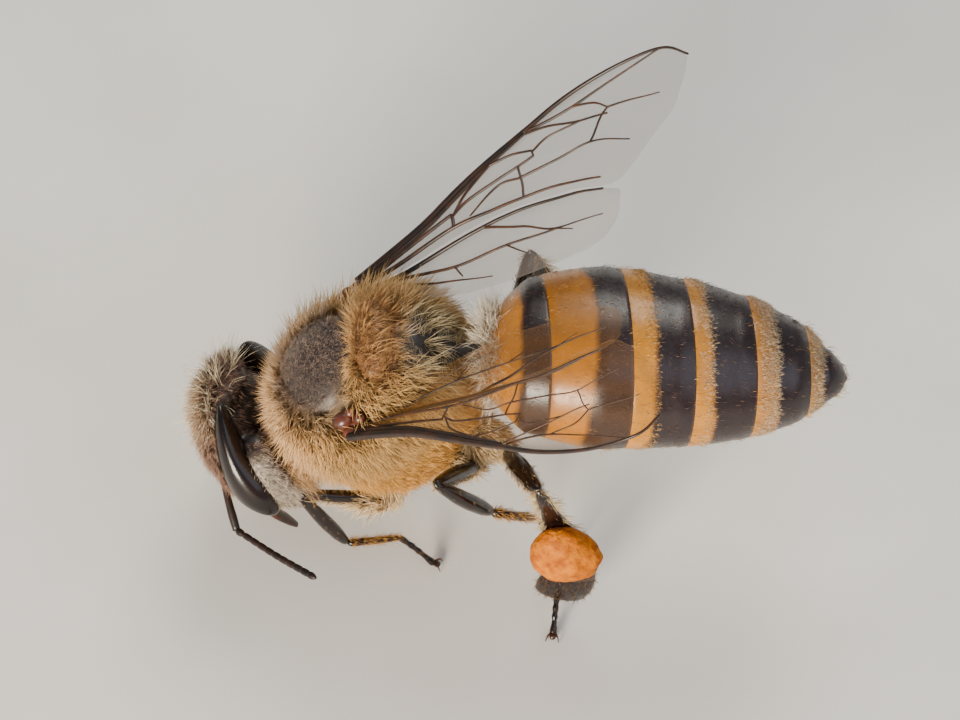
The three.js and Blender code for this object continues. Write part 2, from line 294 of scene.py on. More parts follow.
def mesh_object(name: str, points: Points, faces: Faces, edges: Faces = ()) -> Piece:
    """Makes a mesh object, still in millimetres and shaded smooth.

    Args:
        name: The piece's name.
        points: Its corner points.
        faces: Its faces, with their corners anticlockwise from outside.
        edges: Its edges, where it is a set of lines.

    Returns:
        The object, in the scene.
    """
    mesh = bpy.data.meshes.new(name)
    mesh.from_pydata([tuple(p) for p in points], edges, faces)
    mesh.update()
    mesh.shade_smooth()
    made = bpy.data.objects.new(name, mesh)
    bpy.context.scene.collection.objects.link(made)
    return made


def join_shapes(shapes: list[Shape]) -> Shape:
    """Puts several shapes into one list of points and faces.

    Args:
        shapes: The shapes.

    Returns:
        Points and faces.
    """
    points, faces, start = [], [], 0
    for shape_points, shape_faces in shapes:
        points.append(shape_points)
        faces += [tuple(i + start for i in face) for face in shape_faces]
        start += len(shape_points)
    return np.concatenate(points), faces


def set_attribute(mesh: Mesh, name: str, values: Array, kind: str) -> None:
    """Stores a value for each point of a mesh.

    Args:
        mesh: The mesh that gets the attribute.
        name: The attribute's name.
        values: One row for each point.
        kind: FLOAT, FLOAT_VECTOR or FLOAT_COLOR.
    """
    layer = mesh.attributes.new(name, kind, "POINT")
    field_name = {"FLOAT": "value", "FLOAT_VECTOR": "vector", "FLOAT_COLOR": "color"}[kind]
    layer.data.foreach_set(field_name, np.ascontiguousarray(values, dtype=np.float32).ravel())


def evaluated(made: Piece) -> Piece:
    """Applies an object's modifiers, and leaves it with the plain result.

    Args:
        made: The object.

    Returns:
        The same object.
    """
    graph = bpy.context.evaluated_depsgraph_get()
    result = bpy.data.meshes.new_from_object(made.evaluated_get(graph))
    made.modifiers.clear()
    made.data = result
    return made


def settle(made: Piece, material: Material | None, nodes: tuple[str, ...] = ()) -> Piece:
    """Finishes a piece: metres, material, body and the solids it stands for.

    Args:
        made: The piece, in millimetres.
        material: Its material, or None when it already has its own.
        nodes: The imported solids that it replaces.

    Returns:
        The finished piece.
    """
    made.data.transform(Matrix.Scale(MM, 4))
    made.data.update()
    if material is not None:
        made.data.materials.clear()
        made.data.materials.append(material)
    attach(made, BODY)
    if nodes:
        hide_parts(*nodes)
    LOG.info("%s: %d faces", made.name, len(made.data.polygons))
    return made


def piece(name: str, shape: Shape, slot: str, material: Material, *nodes: str) -> Piece:
    """Makes and finishes a piece from its shape."""
    return settle(mesh_object(name, *shape), material, nodes)


def ball(columns: int, rows: int) -> Shape:
    """A unit sphere on Z with closed poles.

    Args:
        columns: Points around each ring.
        rows: Steps from pole to pole.

    Returns:
        Points and faces.
    """
    polar = np.pi * np.arange(1, rows) / rows
    turn = 2 * np.pi * np.arange(columns) / columns
    ring = [(math.sin(p) * math.cos(t), math.sin(p) * math.sin(t), math.cos(p)) for p in polar for t in turn]
    points = np.array([(0, 0, 1), *ring, (0, 0, -1)], dtype=float)
    return points, capped_faces(columns, rows - 1)


def capped_faces(columns: int, rings: int) -> Faces:
    """Faces of a closed shape: a first pole, rings of points and a last pole.

    Args:
        columns: Points around each ring.
        rings: How many rings there are.

    Returns:
        The faces.
    """
    grid = 1 + np.arange(rings * columns).reshape(rings, columns)
    rows = [list(zip(row.tolist(), np.roll(row, -1).tolist())) for row in grid]
    faces: Faces = [(0, a, b) for a, b in rows[0]]
    for upper, lower in zip(rows, rows[1:]):
        faces += [(a, c, d, b) for (a, b), (c, d) in zip(upper, lower)]
    last = 1 + rings * columns
    return faces + [(last, b, a) for a, b in rows[-1]]


def smooth_path(stops: Array, count: int) -> Array:
    """A smooth curve through a few points, as evenly shared steps of a Catmull-Rom spline.

    Args:
        stops: The points that the curve passes, in order.
        count: How many points it returns.

    Returns:
        The curve's points.
    """
    stops = np.asarray(stops, dtype=float)
    ends = np.vstack([2 * stops[0] - stops[1], stops, 2 * stops[-1] - stops[-2]])
    gaps = np.linalg.norm(np.diff(stops, axis=0), axis=1)
    knots = np.concatenate([[0], np.cumsum(gaps)])
    places = np.linspace(0, knots[-1], count)
    spans = np.clip(np.searchsorted(knots, places, side="right") - 1, 0, len(gaps) - 1)
    t = ((places - knots[spans]) / gaps[spans])[:, None]
    a, b, c, d = (ends[spans + i] for i in range(4))
    return 0.5 * (2 * b + (c - a) * t + (2 * a - 5 * b + 4 * c - d) * t**2 + (3 * b - a - 3 * c + d) * t**3)


def sweep(path: Array, radii: Array, sides: int, across: Array, flat: Array | float = 1.0) -> Shape:
    """A closed tube along a path.

    Args:
        path: The centreline's points.
        radii: The half width at each point, along the way given by across.
        sides: Points around each ring.
        across: The direction that the width is measured in.
        flat: Thickness over width at each point.

    Returns:
        Points and faces, with a pole at each end.
    """
    tangents = unit(np.gradient(path, axis=0))
    flats = np.broadcast_to(flat, len(path))
    turn = 2 * np.pi * np.arange(sides) / sides
    rows = []
    wide = np.asarray(across, dtype=float)
    for point, tangent, radius, ratio in zip(path, tangents, radii, flats):
        wide = unit(wide - tangent * (wide @ tangent))
        thin = np.cross(tangent, wide)
        rows.append(point + radius * (np.outer(np.cos(turn), wide) + ratio * np.outer(np.sin(turn), thin)))
    tips = [path[0] - tangents[0] * radii[0] * 0.3, path[-1] + tangents[-1] * radii[-1] * 0.3]
    points = np.vstack([tips[0], *rows, tips[1]])
    faces = [tuple(reversed(face)) for face in capped_faces(sides, len(path))]
    return points, faces


def remesh(made: Piece, voxel: float, smooth_steps: int) -> Piece:
    """Joins overlapping shapes into one skin with small even faces.

    Args:
        made: The object, in millimetres.
        voxel: The size of the new faces.
        smooth_steps: How often the new skin is smoothed.

    Returns:
        The object with its new mesh.
    """
    modifier = made.modifiers.new("skin", "REMESH")
    modifier.mode = "VOXEL"
    modifier.voxel_size = voxel
    modifier.use_smooth_shade = True
    smooth = made.modifiers.new("smooth", "SMOOTH")
    smooth.factor = 0.5
    smooth.iterations = smooth_steps
    return evaluated(made)


def polygons(mesh: Mesh) -> Faces:
    """The faces of a mesh, as the numbers of their corners."""
    return [tuple(p.vertices) for p in mesh.polygons]


# ---- finishes

class Grain(Enum):
    """What a pattern on the object's own coordinates is made of."""

    CLOUDS = "ShaderNodeTexNoise"
    CELLS = "ShaderNodeTexVoronoi"


@dataclass(frozen=True)
class Pattern:
    """A value over a surface: clouds, cells, or what its points store under a name, stretched to a range."""

    source: Grain | str
    size_mm: float = 1.0  # about how large one cloud or cell is
    span: Span | None = (0.0, 1.0)
    to: Span = (0.0, 1.0)
    detail: float = 3.0

    def value(self, tree: Tree) -> Node:
        """Adds the pattern's nodes to a material.

        Args:
            tree: The material's tree.

        Returns:
            The node that gives the value.
        """
        if isinstance(self.source, str):
            stored = add_node(tree, "ShaderNodeAttribute", {"attribute_name": self.source})
            found = pick(stored.outputs, "Fac")
        else:
            place = pick(add_node(tree, "ShaderNodeTexCoord").outputs, "Object")
            inputs = {"Vector": place, "Scale": 1 / (self.size_mm * MM)}
            if self.source is Grain.CLOUDS:
                inputs["Detail"] = self.detail
            found = add_node(tree, self.source.value, inputs=inputs)
        if self.span is None:
            return found
        ends = zip(("From Min", "From Max", "To Min", "To Max"), self.span + self.to)
        return add_node(tree, "ShaderNodeMapRange", inputs={"Value": found, **dict(ends)})


@dataclass(frozen=True)
class Finish:
    """What the finishes share: plain values, two mixed tones or the piece's own tint, and a bump."""

    name: str
    dark: str = ""
    light: str = ""
    roughness: float = 0.3
    ior: float = 1.48
    coat: float = 0.0
    coat_roughness: float = 0.12
    tone: Pattern = Pattern(Grain.CLOUDS, 0.25, (0.35, 0.7))  # mixes the tones, or shades the tint
    height: Pattern | None = None
    strength: float = 0.35
    deep_mm: float = 0.004

    def material(self) -> Material:
        """Builds the material.

        Returns:
            The material.
        """
        material = bpy.data.materials.new(self.name)
        material.use_nodes = True
        tree = material.node_tree
        tree.nodes.clear()
        inputs = {"Base Color": self.colour(tree), "Roughness": self.roughness, "IOR": self.ior}
        if self.coat:
            inputs.update({"Coat Weight": self.coat, "Coat Roughness": self.coat_roughness})
        if self.height:
            relief = {"Strength": self.strength, "Distance": self.deep_mm * MM}
            relief["Height"] = self.height.value(tree)
            inputs["Normal"] = add_node(tree, "ShaderNodeBump", inputs=relief)
        shader = add_node(tree, "ShaderNodeBsdfPrincipled", inputs={**inputs, **self.extra(tree)})
        add_node(tree, "ShaderNodeOutputMaterial", inputs={"Surface": shader})
        return material

    def colour(self, tree: Tree) -> Node:
        """Mixes the two tones, or darkens and lightens the tint stored on the points.

        Args:
            tree: The material's tree.

        Returns:
            The node that gives the colour.
        """
        tone = self.tone.value(tree)
        if self.dark:
            inputs = {"Factor": tone, "A": linear(self.dark), "B": linear(self.light)}
            return add_node(tree, "ShaderNodeMix", {"data_type": "RGBA"}, inputs)
        tint = add_node(tree, "ShaderNodeAttribute", {"attribute_name": "tint"})
        grey = add_node(tree, "ShaderNodeCombineColor", inputs={"Red": tone, "Green": tone, "Blue": tone})
        settings = {"data_type": "RGBA", "blend_type": "MULTIPLY"}
        return add_node(tree, "ShaderNodeMix", settings, {"Factor": 1.0, "A": tint, "B": grey})

    def extra(self, tree: Tree) -> dict[str, object]:
        """More inputs of the shader, by name."""
        return {}


@dataclass(frozen=True)
class PolishedChitin(Finish):
    """Hard insect cuticle, tanned nearly black: it looks like lacquer with a fine orange-peel skin."""

    coat: float = 0.35
    height: Pattern = Pattern(Grain.CLOUDS, 0.03, None, detail=2.0)  # pits; the real ones are about 0.01 mm


@dataclass(frozen=True)
class MarkedChitin(Finish):
    """Cuticle that carries its own markings, satin where the coat grows and glossy on bare plates."""

    coat_roughness: float = 0.18
    tone: Pattern = Pattern(Grain.CLOUDS, 0.3, (0.3, 0.75), (0.78, 1.16))
    height: Pattern = Pattern(Grain.CELLS, 0.045, (0.0, 0.45))  # sockets of hairs, drawn a little coarse
    strength: float = 0.4

    def extra(self, tree: Tree) -> dict[str, object]:
        """Patches that are worn duller or glossier."""
        worn = Pattern(Grain.CLOUDS, 0.12, (0.3, 0.7), (self.roughness * 0.8, self.roughness * 1.25))
        return {"Roughness": worn.value(tree)}


@dataclass(frozen=True)
class CompoundEye(Finish):
    """A dome of thousands of lenses: it looks like black-brown glass with a soft honeycomb skin."""

    name: str = "compound_eye_lens"
    dark: str = "#070405"
    light: str = "#1C0F0C"
    roughness: float = 0.26
    ior: float = 1.38
    coat: float = 0.24
    tone: Pattern = Pattern(Grain.CLOUDS, 0.6, (0.35, 0.7))
    height: Pattern = Pattern(Grain.CELLS, 0.034, (0.0, 0.7), (1, 0))  # real lenses are about 0.022 mm
    strength: float = 0.25
    deep_mm: float = 0.003


@dataclass(frozen=True)
class WingMembrane(Finish):
    """Dry clear cuticle 0.01 mm thick: it looks like brownish cellophane with a fine nap of micro hairs."""

    roughness: float = 0.24
    ior: float = 1.56
    tone: Pattern = Pattern("smoke")
    height: Pattern = Pattern(Grain.CLOUDS, 0.05, None, detail=2.0)
    strength: float = 0.3
    deep_mm: float = 0.006
    clear_alpha: float = 0.2
    smoky_alpha: float = 0.66

    def extra(self, tree: Tree) -> dict[str, object]:
        """The membrane lets light through, least where it is smoky."""
        return {"Alpha": Pattern("smoke", to=(self.clear_alpha, self.smoky_alpha)).value(tree)}


@dataclass(frozen=True)
class PackedPollen(Finish):
    """Pollen wetted with nectar and packed by the leg: it looks like moist orange clay full of grains."""

    name: str = "packed_pollen"
    dark: str = "#944600"
    light: str = "#C87400"
    roughness: float = 0.65
    ior: float = 1.36
    tone: Pattern = Pattern(Grain.CLOUDS, 0.16, (0.3, 0.68), detail=4.0)
    height: Pattern = Pattern(Grain.CELLS, 0.04, (0.0, 0.6), (1, 0))  # real grains are about 0.03 mm
    strength: float = 0.6
    deep_mm: float = 0.012

    def extra(self, tree: Tree) -> dict[str, object]:
        """The moist grains glow a little from within, and reflect little."""
        glow = {"Subsurface Weight": 0.05, "Subsurface Radius": (0.08, 0.04, 0.02), "Subsurface Scale": MM}
        return {"Specular IOR Level": 0.3, **glow}


@dataclass(frozen=True)
class BranchedHair(Finish):
    """Dry feathery hair in the coat's own markings: it looks matt and dusty, paler toward the tips."""

    name: str = "branched_hair"
    roughness: float = 0.55
    ior: float = 1.5
    tone: Pattern = Pattern("tip", to=(0.62, 1.12))


@dataclass(frozen=True)
class PaleFloor(Finish):
    """Matt painted board: it looks flat and almost white, with a faint unevenness."""

    name: str = "matt_painted_board"
    dark: str = "#DCDAD4"
    light: str = "#E4E2DD"
    roughness: float = 0.9
    ior: float = 1.45
    tone: Pattern = Pattern(Grain.CLOUDS, 4.0, (0.3, 0.7))


# ---- studio

@dataclass
class SoftLight:
    """A square soft box: its place around the model, its size in millimetres and its power in watts."""

    name: str
    azimuth: float
    elevation: float
    size: float
    power: float
    colour: str
    distance: float = 90.0


def view_way(azimuth: float, elevation: float) -> Vector:
    """The direction from the model to a viewer, by angles in degrees."""
    a, e = math.radians(azimuth), math.radians(elevation)
    return Vector((math.sin(a) * math.cos(e), -math.cos(a) * math.cos(e), math.sin(e)))


@dataclass
class Studio:
    """The camera, the lights and the floor. Sizes are in millimetres and angles in degrees."""

    azimuth: float = 2.0
    elevation: float = 56.0
    distance: float = 150.0
    frame_width: float = 16.84
    aim_right: float = -0.628
    aim_up: float = 0.078
    sensor: float = 36.0
    floor_size: float = 900.0
    lights: tuple[SoftLight, ...] = (
        SoftLight("key", -24, 13, 34, 0.21, "#FFF1DC"),
        SoftLight("fill", 60, 40, 80, 0.03, "#E6EEFF"),
        SoftLight("rim", 172, 48, 50, 0.06, "#FFFAF0"),
    )

    def build(self) -> None:
        """Makes the camera, the lights, the world and the floor."""
        low, high = (np.array(corner) for corner in CAD_BOUNDS)
        middle = Vector((low + high) / 2)
        way = view_way(self.azimuth, self.elevation)
        turn = way.to_track_quat("Z", "Y")
        right, up = turn @ Vector((1, 0, 0)), turn @ Vector((0, 1, 0))
        aim = middle + (right * self.aim_right + up * self.aim_up) * MM
        lens = bpy.data.cameras.new("camera")
        lens.sensor_width = self.sensor
        lens.lens = self.sensor * self.distance / self.frame_width
        lens.clip_start = 0.01
        lens.clip_end = 10.0
        camera = bpy.data.objects.new("camera", lens)
        camera.location = aim + way * self.distance * MM
        camera.rotation_euler = turn.to_euler()
        bpy.context.scene.collection.objects.link(camera)
        bpy.context.scene.camera = camera
        for light in self.lights:
            self.hang(light, middle)
        world = bpy.data.worlds.new("studio")
        world.use_nodes = True
        sky = world.node_tree.nodes["Background"]
        sky.inputs["Color"].default_value = linear("#E9EDF2")
        sky.inputs["Strength"].default_value = 0.36
        bpy.context.scene.world = world
        self.lay_floor(float(low[2]))

    def hang(self, light: SoftLight, middle: Vector) -> None:
        """Makes one soft box that faces the model.

        Args:
            light: The soft box.
            middle: The middle of the model, in metres.
        """
        lamp = bpy.data.lights.new(light.name, "AREA")
        lamp.energy = light.power
        lamp.size = light.size * MM
        lamp.color = linear(light.colour)[:3]
        made = bpy.data.objects.new(light.name, lamp)
        way = view_way(light.azimuth, light.elevation)
        made.location = middle + way * light.distance * MM
        made.rotation_euler = way.to_track_quat("Z", "Y").to_euler()
        bpy.context.scene.collection.objects.link(made)

    def lay_floor(self, height: float) -> None:
        """Makes the floor under the feet.

        Args:
            height: Where it lies, in metres.
        """
        half = self.floor_size / 2
        corners = np.array([(-half, -half, 0), (half, -half, 0), (half, half, 0), (-half, half, 0)])
        floor = mesh_object("floor", corners * MM + (0, 0, height), [(0, 1, 2, 3)])
        floor.data.materials.append(PaleFloor().material())


# ---- head and thorax

class Side(Enum):
    """The two sides of the bee, by the sign of Y."""

    LEFT = -1
    RIGHT = 1

    @property
    def word(self) -> str:
        """The side as it stands in the names of the solids."""
        return self.name.lower()


@dataclass(frozen=True)
class BodyPlan:
    """How the head and thorax are turned, in degrees, and how far they lie from their boxes' middles."""

    thorax_pitch: float = 40.0
    thorax_shift: Triple = (0.025, -0.004, -0.1)
    head_pitch: float = 42.0
    head_roll: float = 22.0
    head_yaw: float = 4.0
    head_shift: Triple = (0.005, -0.009, 0.13)

    def thorax(self) -> LocalFrame:
        """The thorax's frame: X toward the waist, Z out of the back."""
        turn = Euler((0, math.radians(-self.thorax_pitch), 0), "XYZ").to_matrix()
        return LocalFrame(box_middle("thorax") + self.thorax_shift, np.array(turn))

    def head(self) -> LocalFrame:
        """The head's frame: X away from the face, Z toward the crown."""
        angles = [math.radians(a) for a in (-self.head_roll, -self.head_pitch, self.head_yaw)]
        return LocalFrame(box_middle("head") + self.head_shift, np.array(Euler(angles, "XYZ").to_matrix()))


PLAN = BodyPlan()


def egg(place: LocalFrame, centre: tuple, half: tuple, sides: tuple[int, int] = (40, 24)) -> Shape:
    """An ellipsoid in a body part's frame, with a number of columns and rows."""
    points, faces = ball(*sides)
    return place.outward(points * half + centre), faces


@dataclass
class BodySkin:
    """One skin over head, neck, thorax, scutellum and waist, inside the solids by the coat's depth."""

    voxel: float = 0.045
    core: tuple = ((0.0, 0.0, 0.02), (1.8, 1.55, 1.56))
    shield: tuple = ((-0.3, 0.0, 0.48), (1.3, 1.26, 1.27))
    bolster: tuple = ((0.98, 0.0, 1.36), (0.36, 0.86, 0.36))
    collar: tuple = ((-1.3, 0.0, 0.15), (0.42, 1.12, 1.02))
    flank: tuple = ((-0.1, 0.74, -0.28), (1.2, 0.76, 1.16))
    rump: tuple = ((1.15, 0.0, 0.35), (0.62, 1.05, 0.95))
    face: tuple = ((-0.62, 0.0, -0.72), (0.3, 0.5, 0.52))
    lip: tuple = ((-0.64, 0.0, -1.32), (0.16, 0.36, 0.2))
    cheek: tuple = ((0.5, 0.98, -0.45), (0.44, 0.5, 0.8))
    crown: tuple = ((0.08, 0.0, 0.9), (0.46, 0.9, 0.34))
    head_depth: Span = (0.66, 0.7)  # to the face and to the back
    head_width: float = 1.34
    head_height: Span = (1.16, 1.48)  # to the crown and to the mouth
    neck_radius: float = 0.42
    waist_radius: float = 0.3

    def head_core(self, place: LocalFrame) -> Shape:
        """The head is a rounded triangle from the front, drawn in to the mouth.

        Args:
            place: The head's frame.

        Returns:
            Points and faces.
        """
        points, faces = ball(48, 30)
        x, y, z = points.T
        low = np.maximum(0, -z)
        (face, back), (crown, mouth) = self.head_depth, self.head_height
        depth = np.where(x < 0, face, back * (1 - 0.25 * (1 - z**2)))
        wide = y * self.head_width * (1 - 0.3 * low * low)
        shaped = np.column_stack([x * depth - 0.12 * low, wide, z * np.where(z > 0, crown, mouth)])
        return place.outward(shaped), faces

    def build(self, waist: Array) -> Piece:
        """Makes the skin, still in millimetres, with its markings.

        Args:
            waist: The middle of the abdomen's front.

        Returns:
            The skin.
        """
        thorax, head = PLAN.thorax(), PLAN.head()
        blobs = (self.core, self.shield, self.bolster, self.collar, self.rump)
        shapes = [egg(thorax, *blob) for blob in blobs]
        for side in Side:
            for place, (centre, half) in ((thorax, self.flank), (head, self.cheek)):
                shapes.append(egg(place, (centre[0], side.value * centre[1], centre[2]), half))
        shapes += [self.head_core(head), *(egg(head, *blob) for blob in (self.face, self.lip, self.crown))]
        neck = (head.outward(np.array([0.2, 0, 0.1])), thorax.outward(np.array([-1.2, 0, 0.0])))
        stalk = (thorax.outward(np.array([1.2, 0, 0.3])), waist + (0.25, 0, 0))
        for (start, end), radius in ((neck, self.neck_radius), (stalk, self.waist_radius)):
            shapes.append(sweep(np.linspace(start, end, 6), np.full(6, radius), 20, ACROSS))
        made = remesh(mesh_object("body_skin", *join_shapes(shapes)), self.voxel, 6)
        points = read(made.data.vertices)
        moved = points + read(made.data.vertices, "normal") * self.relief(points)[:, None]
        made.data.vertices.foreach_set("co", moved.ravel())
        made.data.update()
        set_attribute(made.data, "tint", self.tints(read(made.data.vertices)), "FLOAT_COLOR")
        return made

    @staticmethod
    def on_head(points: Points) -> Array:
        """Which points belong to the head, as true or false.

        Args:
            points: Places in the model, in millimetres.

        Returns:
            True or false for each.
        """
        near_head = np.linalg.norm(PLAN.head().inward(points) / (0.95, 1.55, 1.5), axis=1)
        near_thorax = np.linalg.norm(PLAN.thorax().inward(points) / (1.85, 1.6, 1.75), axis=1)
        return near_head < near_thorax

    def relief(self, points: Points) -> Array:
        """How far the skin rises or sinks along its seams.

        Args:
            points: Places in the model, in millimetres.

        Returns:
            The rise at each, in millimetres.
        """
        x, y, z = PLAN.thorax().inward(points).T
        seam = np.zeros(len(points))
        rear_edge = 0.64 - 0.24 * y * y
        on_back = smoothstep(0.5, 0.9, z)
        seam -= 0.07 * hump(x - rear_edge, 0.06) * on_back
        seam -= 0.014 * hump(y, 0.035) * on_back * smoothstep(0.3, -0.2, x)
        seam -= 0.012 * hump(np.abs(y) - 0.52, 0.04) * on_back * smoothstep(0.5, 0.1, x)
        seam -= 0.05 * hump(z - 0.62 + 0.3 * x, 0.06) * smoothstep(0.8, 1.2, np.abs(y))
        return np.where(self.on_head(points), 0.0, seam)

    @staticmethod
    def regions(points: Points) -> dict[str, Array]:
        """How far each point belongs to each marked region, from 0 to 1.

        Args:
            points: Places in the model, in millimetres.

        Returns:
            The shares, by the regions' names.
        """
        x, y, z = PLAN.thorax().inward(points).T
        up = z / np.sqrt(x * x + y * y + z * z)
        thorax = ~BodySkin.on_head(points)
        shield = smoothstep(1.16, 0.7, np.hypot((x + 0.27) / 0.88, y / 1.08)) * (up > 0.2)
        bolster = smoothstep(1.2, 0.9, np.hypot((x - 1.06) / 0.35, y / 0.92)) * smoothstep(0.9, 1.2, z)
        rump = smoothstep(1.0, 1.35, x) * smoothstep(0.8, 0.5, np.abs(y)) * (1 - bolster)
        found = {"shield": shield, "bolster": bolster, "rump": rump * smoothstep(-0.4, 0.2, z)}
        return {name: value * thorax for name, value in found.items()}

    def tints(self, points: Points) -> Array:
        """The cuticle's colours, with painted shade under the fur and at the back of the head.

        Args:
            points: Places in the model, in millimetres.

        Returns:
            The linear colour of each point.
        """
        region, head = self.regions(points), self.on_head(points)
        x, y, z = PLAN.head().inward(points).T
        rear = np.maximum(smoothstep(0.9, 0.6, np.abs(y)), smoothstep(-0.05, 0.25, z))
        # Painted shade: the back of the head, between the eyes' rear and the collar, is painted near black,
        # darker than its own dark cuticle, as the shadow that falls there.
        shaded_nape = head * smoothstep(0.1, 0.3, x) * np.maximum(rear, smoothstep(0.7, 0.85, x))
        layers = [(region["shield"], "#2C2422"), (region["bolster"], "#7A5030"), (region["rump"], "#1C1616")]
        # Painted shade: under the coat the skin takes the hair's colour at 0.4, so gaps in the coat read as
        # shadow.
        fur_shade = Coat.body_tint(points) * (0.4, 0.4, 0.4, 1)
        tint = lay(fur_shade, len(points), *layers, (shaded_nape, "#171110"))
        tint[head & (x < -0.3) & (np.abs(y) < 0.42) & (z < -0.8)] = linear("#5A3E24")
        return tint


@dataclass
class Eyes:
    """Two long kidney-shaped compound eyes on the sides of the head, and three small eyes on its crown."""

    back: float = 0.13
    side: float = 1.17
    up: float = 0.09
    half: Triple = (0.31, 0.46, 1.15)
    fuller: float = 0.45  # how much broader the lower half is than the upper
    skew: float = 0.1  # how far the outermost line lies behind the middle
    bow: Span = (0.2, 0.16)  # how far the upper and lower ends curl back
    rake: float = 0.16
    ocellus: float = 0.09
    ocelli: tuple = ((-0.28, 0.0), (-0.02, 0.26), (-0.02, -0.26))

    def shape(self, side: Side) -> Shape:
        """One compound eye, nearest its fellow at the crown.

        Args:
            side: The side of the bee.

        Returns:
            Points and faces.
        """
        points, faces = ball(72, 44)
        x, y, z = points.T
        lean = 0.24 * z + 0.1 * z * z
        depth = self.spine(z) + x * self.breadth(z) + self.skew * side.value * y
        across = side.value * (self.side - lean) + y * self.half[1]
        height = self.up + z * self.half[2] * np.where(z > 0, 0.92, 1.0)
        return PLAN.head().outward(np.column_stack([depth, across, height])), faces

    def spine(self, z: Array) -> Array:
        """How far back the middle of an eye lies, by height."""
        return self.back + self.rake * z + np.where(z > 0, self.bow[0], self.bow[1]) * z * z

    def breadth(self, z: Array) -> Array:
        """Half an eye's breadth from front to back, by height."""
        return self.half[0] * (1 - 0.25 * z * z + self.fuller * smoothstep(0.3, -0.7, z))

    def nearness(self, points: Points) -> Array:
        """How near each point of the head is to an eye: one on its surface, less inside.

        Args:
            points: Places in the model, in millimetres.

        Returns:
            The nearness of each.
        """
        x, y, z = PLAN.head().inward(points).T
        z = np.clip((z - self.up) / self.half[2], -1.4, 1.4)
        across = (np.abs(y) - self.side + 0.24 * z + 0.1 * z * z) / self.half[1]
        along = (x - self.spine(z) - self.skew * across) / self.breadth(z)
        return np.sqrt(along**2 + across**2 + z**2)

    def build(self, skin: Piece) -> None:
        """Makes the eyes, and seats the small ones on the skin.

        Args:
            skin: The body skin, in millimetres.
        """
        lens = CompoundEye().material()
        for side in Side:
            piece(f"compound_eye_{side.word}", self.shape(side), "eye", lens, f"eye_{side.word}")
        head = PLAN.head()
        tree = BVHTree.FromPolygons(read(skin.data.vertices).tolist(), polygons(skin.data))
        shapes = []
        for x, y in self.ocelli:
            start = Vector(head.outward(np.array([x, y, 2.5])))
            hit = tree.ray_cast(start, Vector(head.aim(-UP)))[0]
            points, faces = ball(20, 12)
            shapes.append((points * self.ocellus + np.array(hit), faces))
        piece("simple_eyes", join_shapes(shapes), "eye", lens)


@dataclass
class Feelers:
    """The two feelers: a long first joint, a knob and ten short joints."""

    scape: tuple[float, ...] = (0.085, 0.07, 0.066, 0.07, 0.078, 0.07)
    lash: float = 0.066
    joints: int = 10
    cap: float = 0.25
    tip_reach: float = 0.12

    def build(self) -> None:
        """Makes both feelers in place of their solids."""
        brown = PolishedChitin("feeler_cuticle", "#120B0A", "#2A1812", roughness=0.4, coat=0.05).material()
        head = PLAN.head()
        for side in Side:
            ends = limb_ends(f"scape_{side.word}", head.origin)
            way = unit(ends[1] - ends[0])
            socket, elbow = ends[0] + way * self.cap, ends[1] - way * self.cap
            tip = far_joint(f"flagellum_{side.word}", elbow, self.cap)
            tip = tip + unit(tip - elbow) * self.tip_reach
            bow = np.cross(way, head.aim(AFT)) * 0.03
            path = smooth_path([socket - way * 0.1, (socket + elbow) / 2 + bow, elbow], 18)
            shape = sweep(path, spread(self.scape, 18), 16, ACROSS)
            piece(f"feeler_stem_{side.word}", shape, "shell", brown, f"scape_{side.word}")
            self.lash_piece(side, elbow, tip, brown)

    def lash_piece(self, side: Side, elbow: Array, tip: Array, brown: Material) -> None:
        """Makes the jointed lash from the elbow to the tip, bowed a little downward.

        Args:
            side: The side of the bee.
            elbow: Where the lash starts.
            tip: Where it ends.
            brown: The cuticle's material.
        """
        sag = (elbow + tip) / 2 - np.array([0, 0, 0.05])
        path = smooth_path([elbow, sag, tip], 8 * (self.joints + 1) + 1)
        place = np.linspace(0, self.joints + 1, len(path))
        groove = np.abs(place - np.round(place))
        radii = self.lash * (0.8 + 0.2 * smoothstep(0.0, 0.22, groove))
        stops = [0, 0.4, 1, 1.1, self.joints + 0.5, self.joints + 1]
        radii *= np.interp(place, stops, [0.7, 1.1, 0.8, 0.92, 1, 0.5])
        shape = sweep(path, radii, 16, ACROSS)
        piece(f"feeler_lash_{side.word}", shape, "shell", brown, f"flagellum_{side.word}")


@dataclass
class Mouthparts:
    """The closed jaws and the tongue folded beneath the head."""

    jaw: tuple[float, ...] = (0.1, 0.13, 0.12, 0.1, 0.06)
    jaw_reach: float = 0.72  # how much of the solid's length the jaw takes
    tongue: tuple[float, ...] = (0.1, 0.13, 0.1, 0.07, 0.05)

    def build(self) -> None:
        """Makes the jaws and the tongue in place of their solids."""
        jaw_brown = PolishedChitin("jaw_cuticle", "#1E100C", "#4A2614", roughness=0.34, coat=0.1).material()
        tongue_brown = PolishedChitin("tongue_cuticle", "#4A2412", "#8A5228", roughness=0.4).material()
        for side in Side:
            tip, root = self.ends(f"mandible_{side.word}")
            tip = root + self.jaw_reach * (tip - root)
            shape = self.limb(root, tip, self.jaw, 0.6)
            piece(f"jaw_{side.word}", shape, "shell", jaw_brown, f"mandible_{side.word}")
        shape = self.limb(*self.ends("proboscis"), self.tongue, 0.8)
        piece("folded_tongue", shape, "shell", tongue_brown, "proboscis")

    @staticmethod
    def ends(name: str) -> list[Array]:
        """The lower and the upper end of a solid on the head."""
        return sorted(centreline(name), key=lambda end: PLAN.head().inward(end)[2])

    @staticmethod
    def limb(start: Array, end: Array, radii: tuple[float, ...], flat: float) -> Shape:
        """A tapered limb between two ends."""
        across = PLAN.head().aim(ACROSS)
        return sweep(np.linspace(start, end, 16), spread(radii, 16), 18, across, flat)


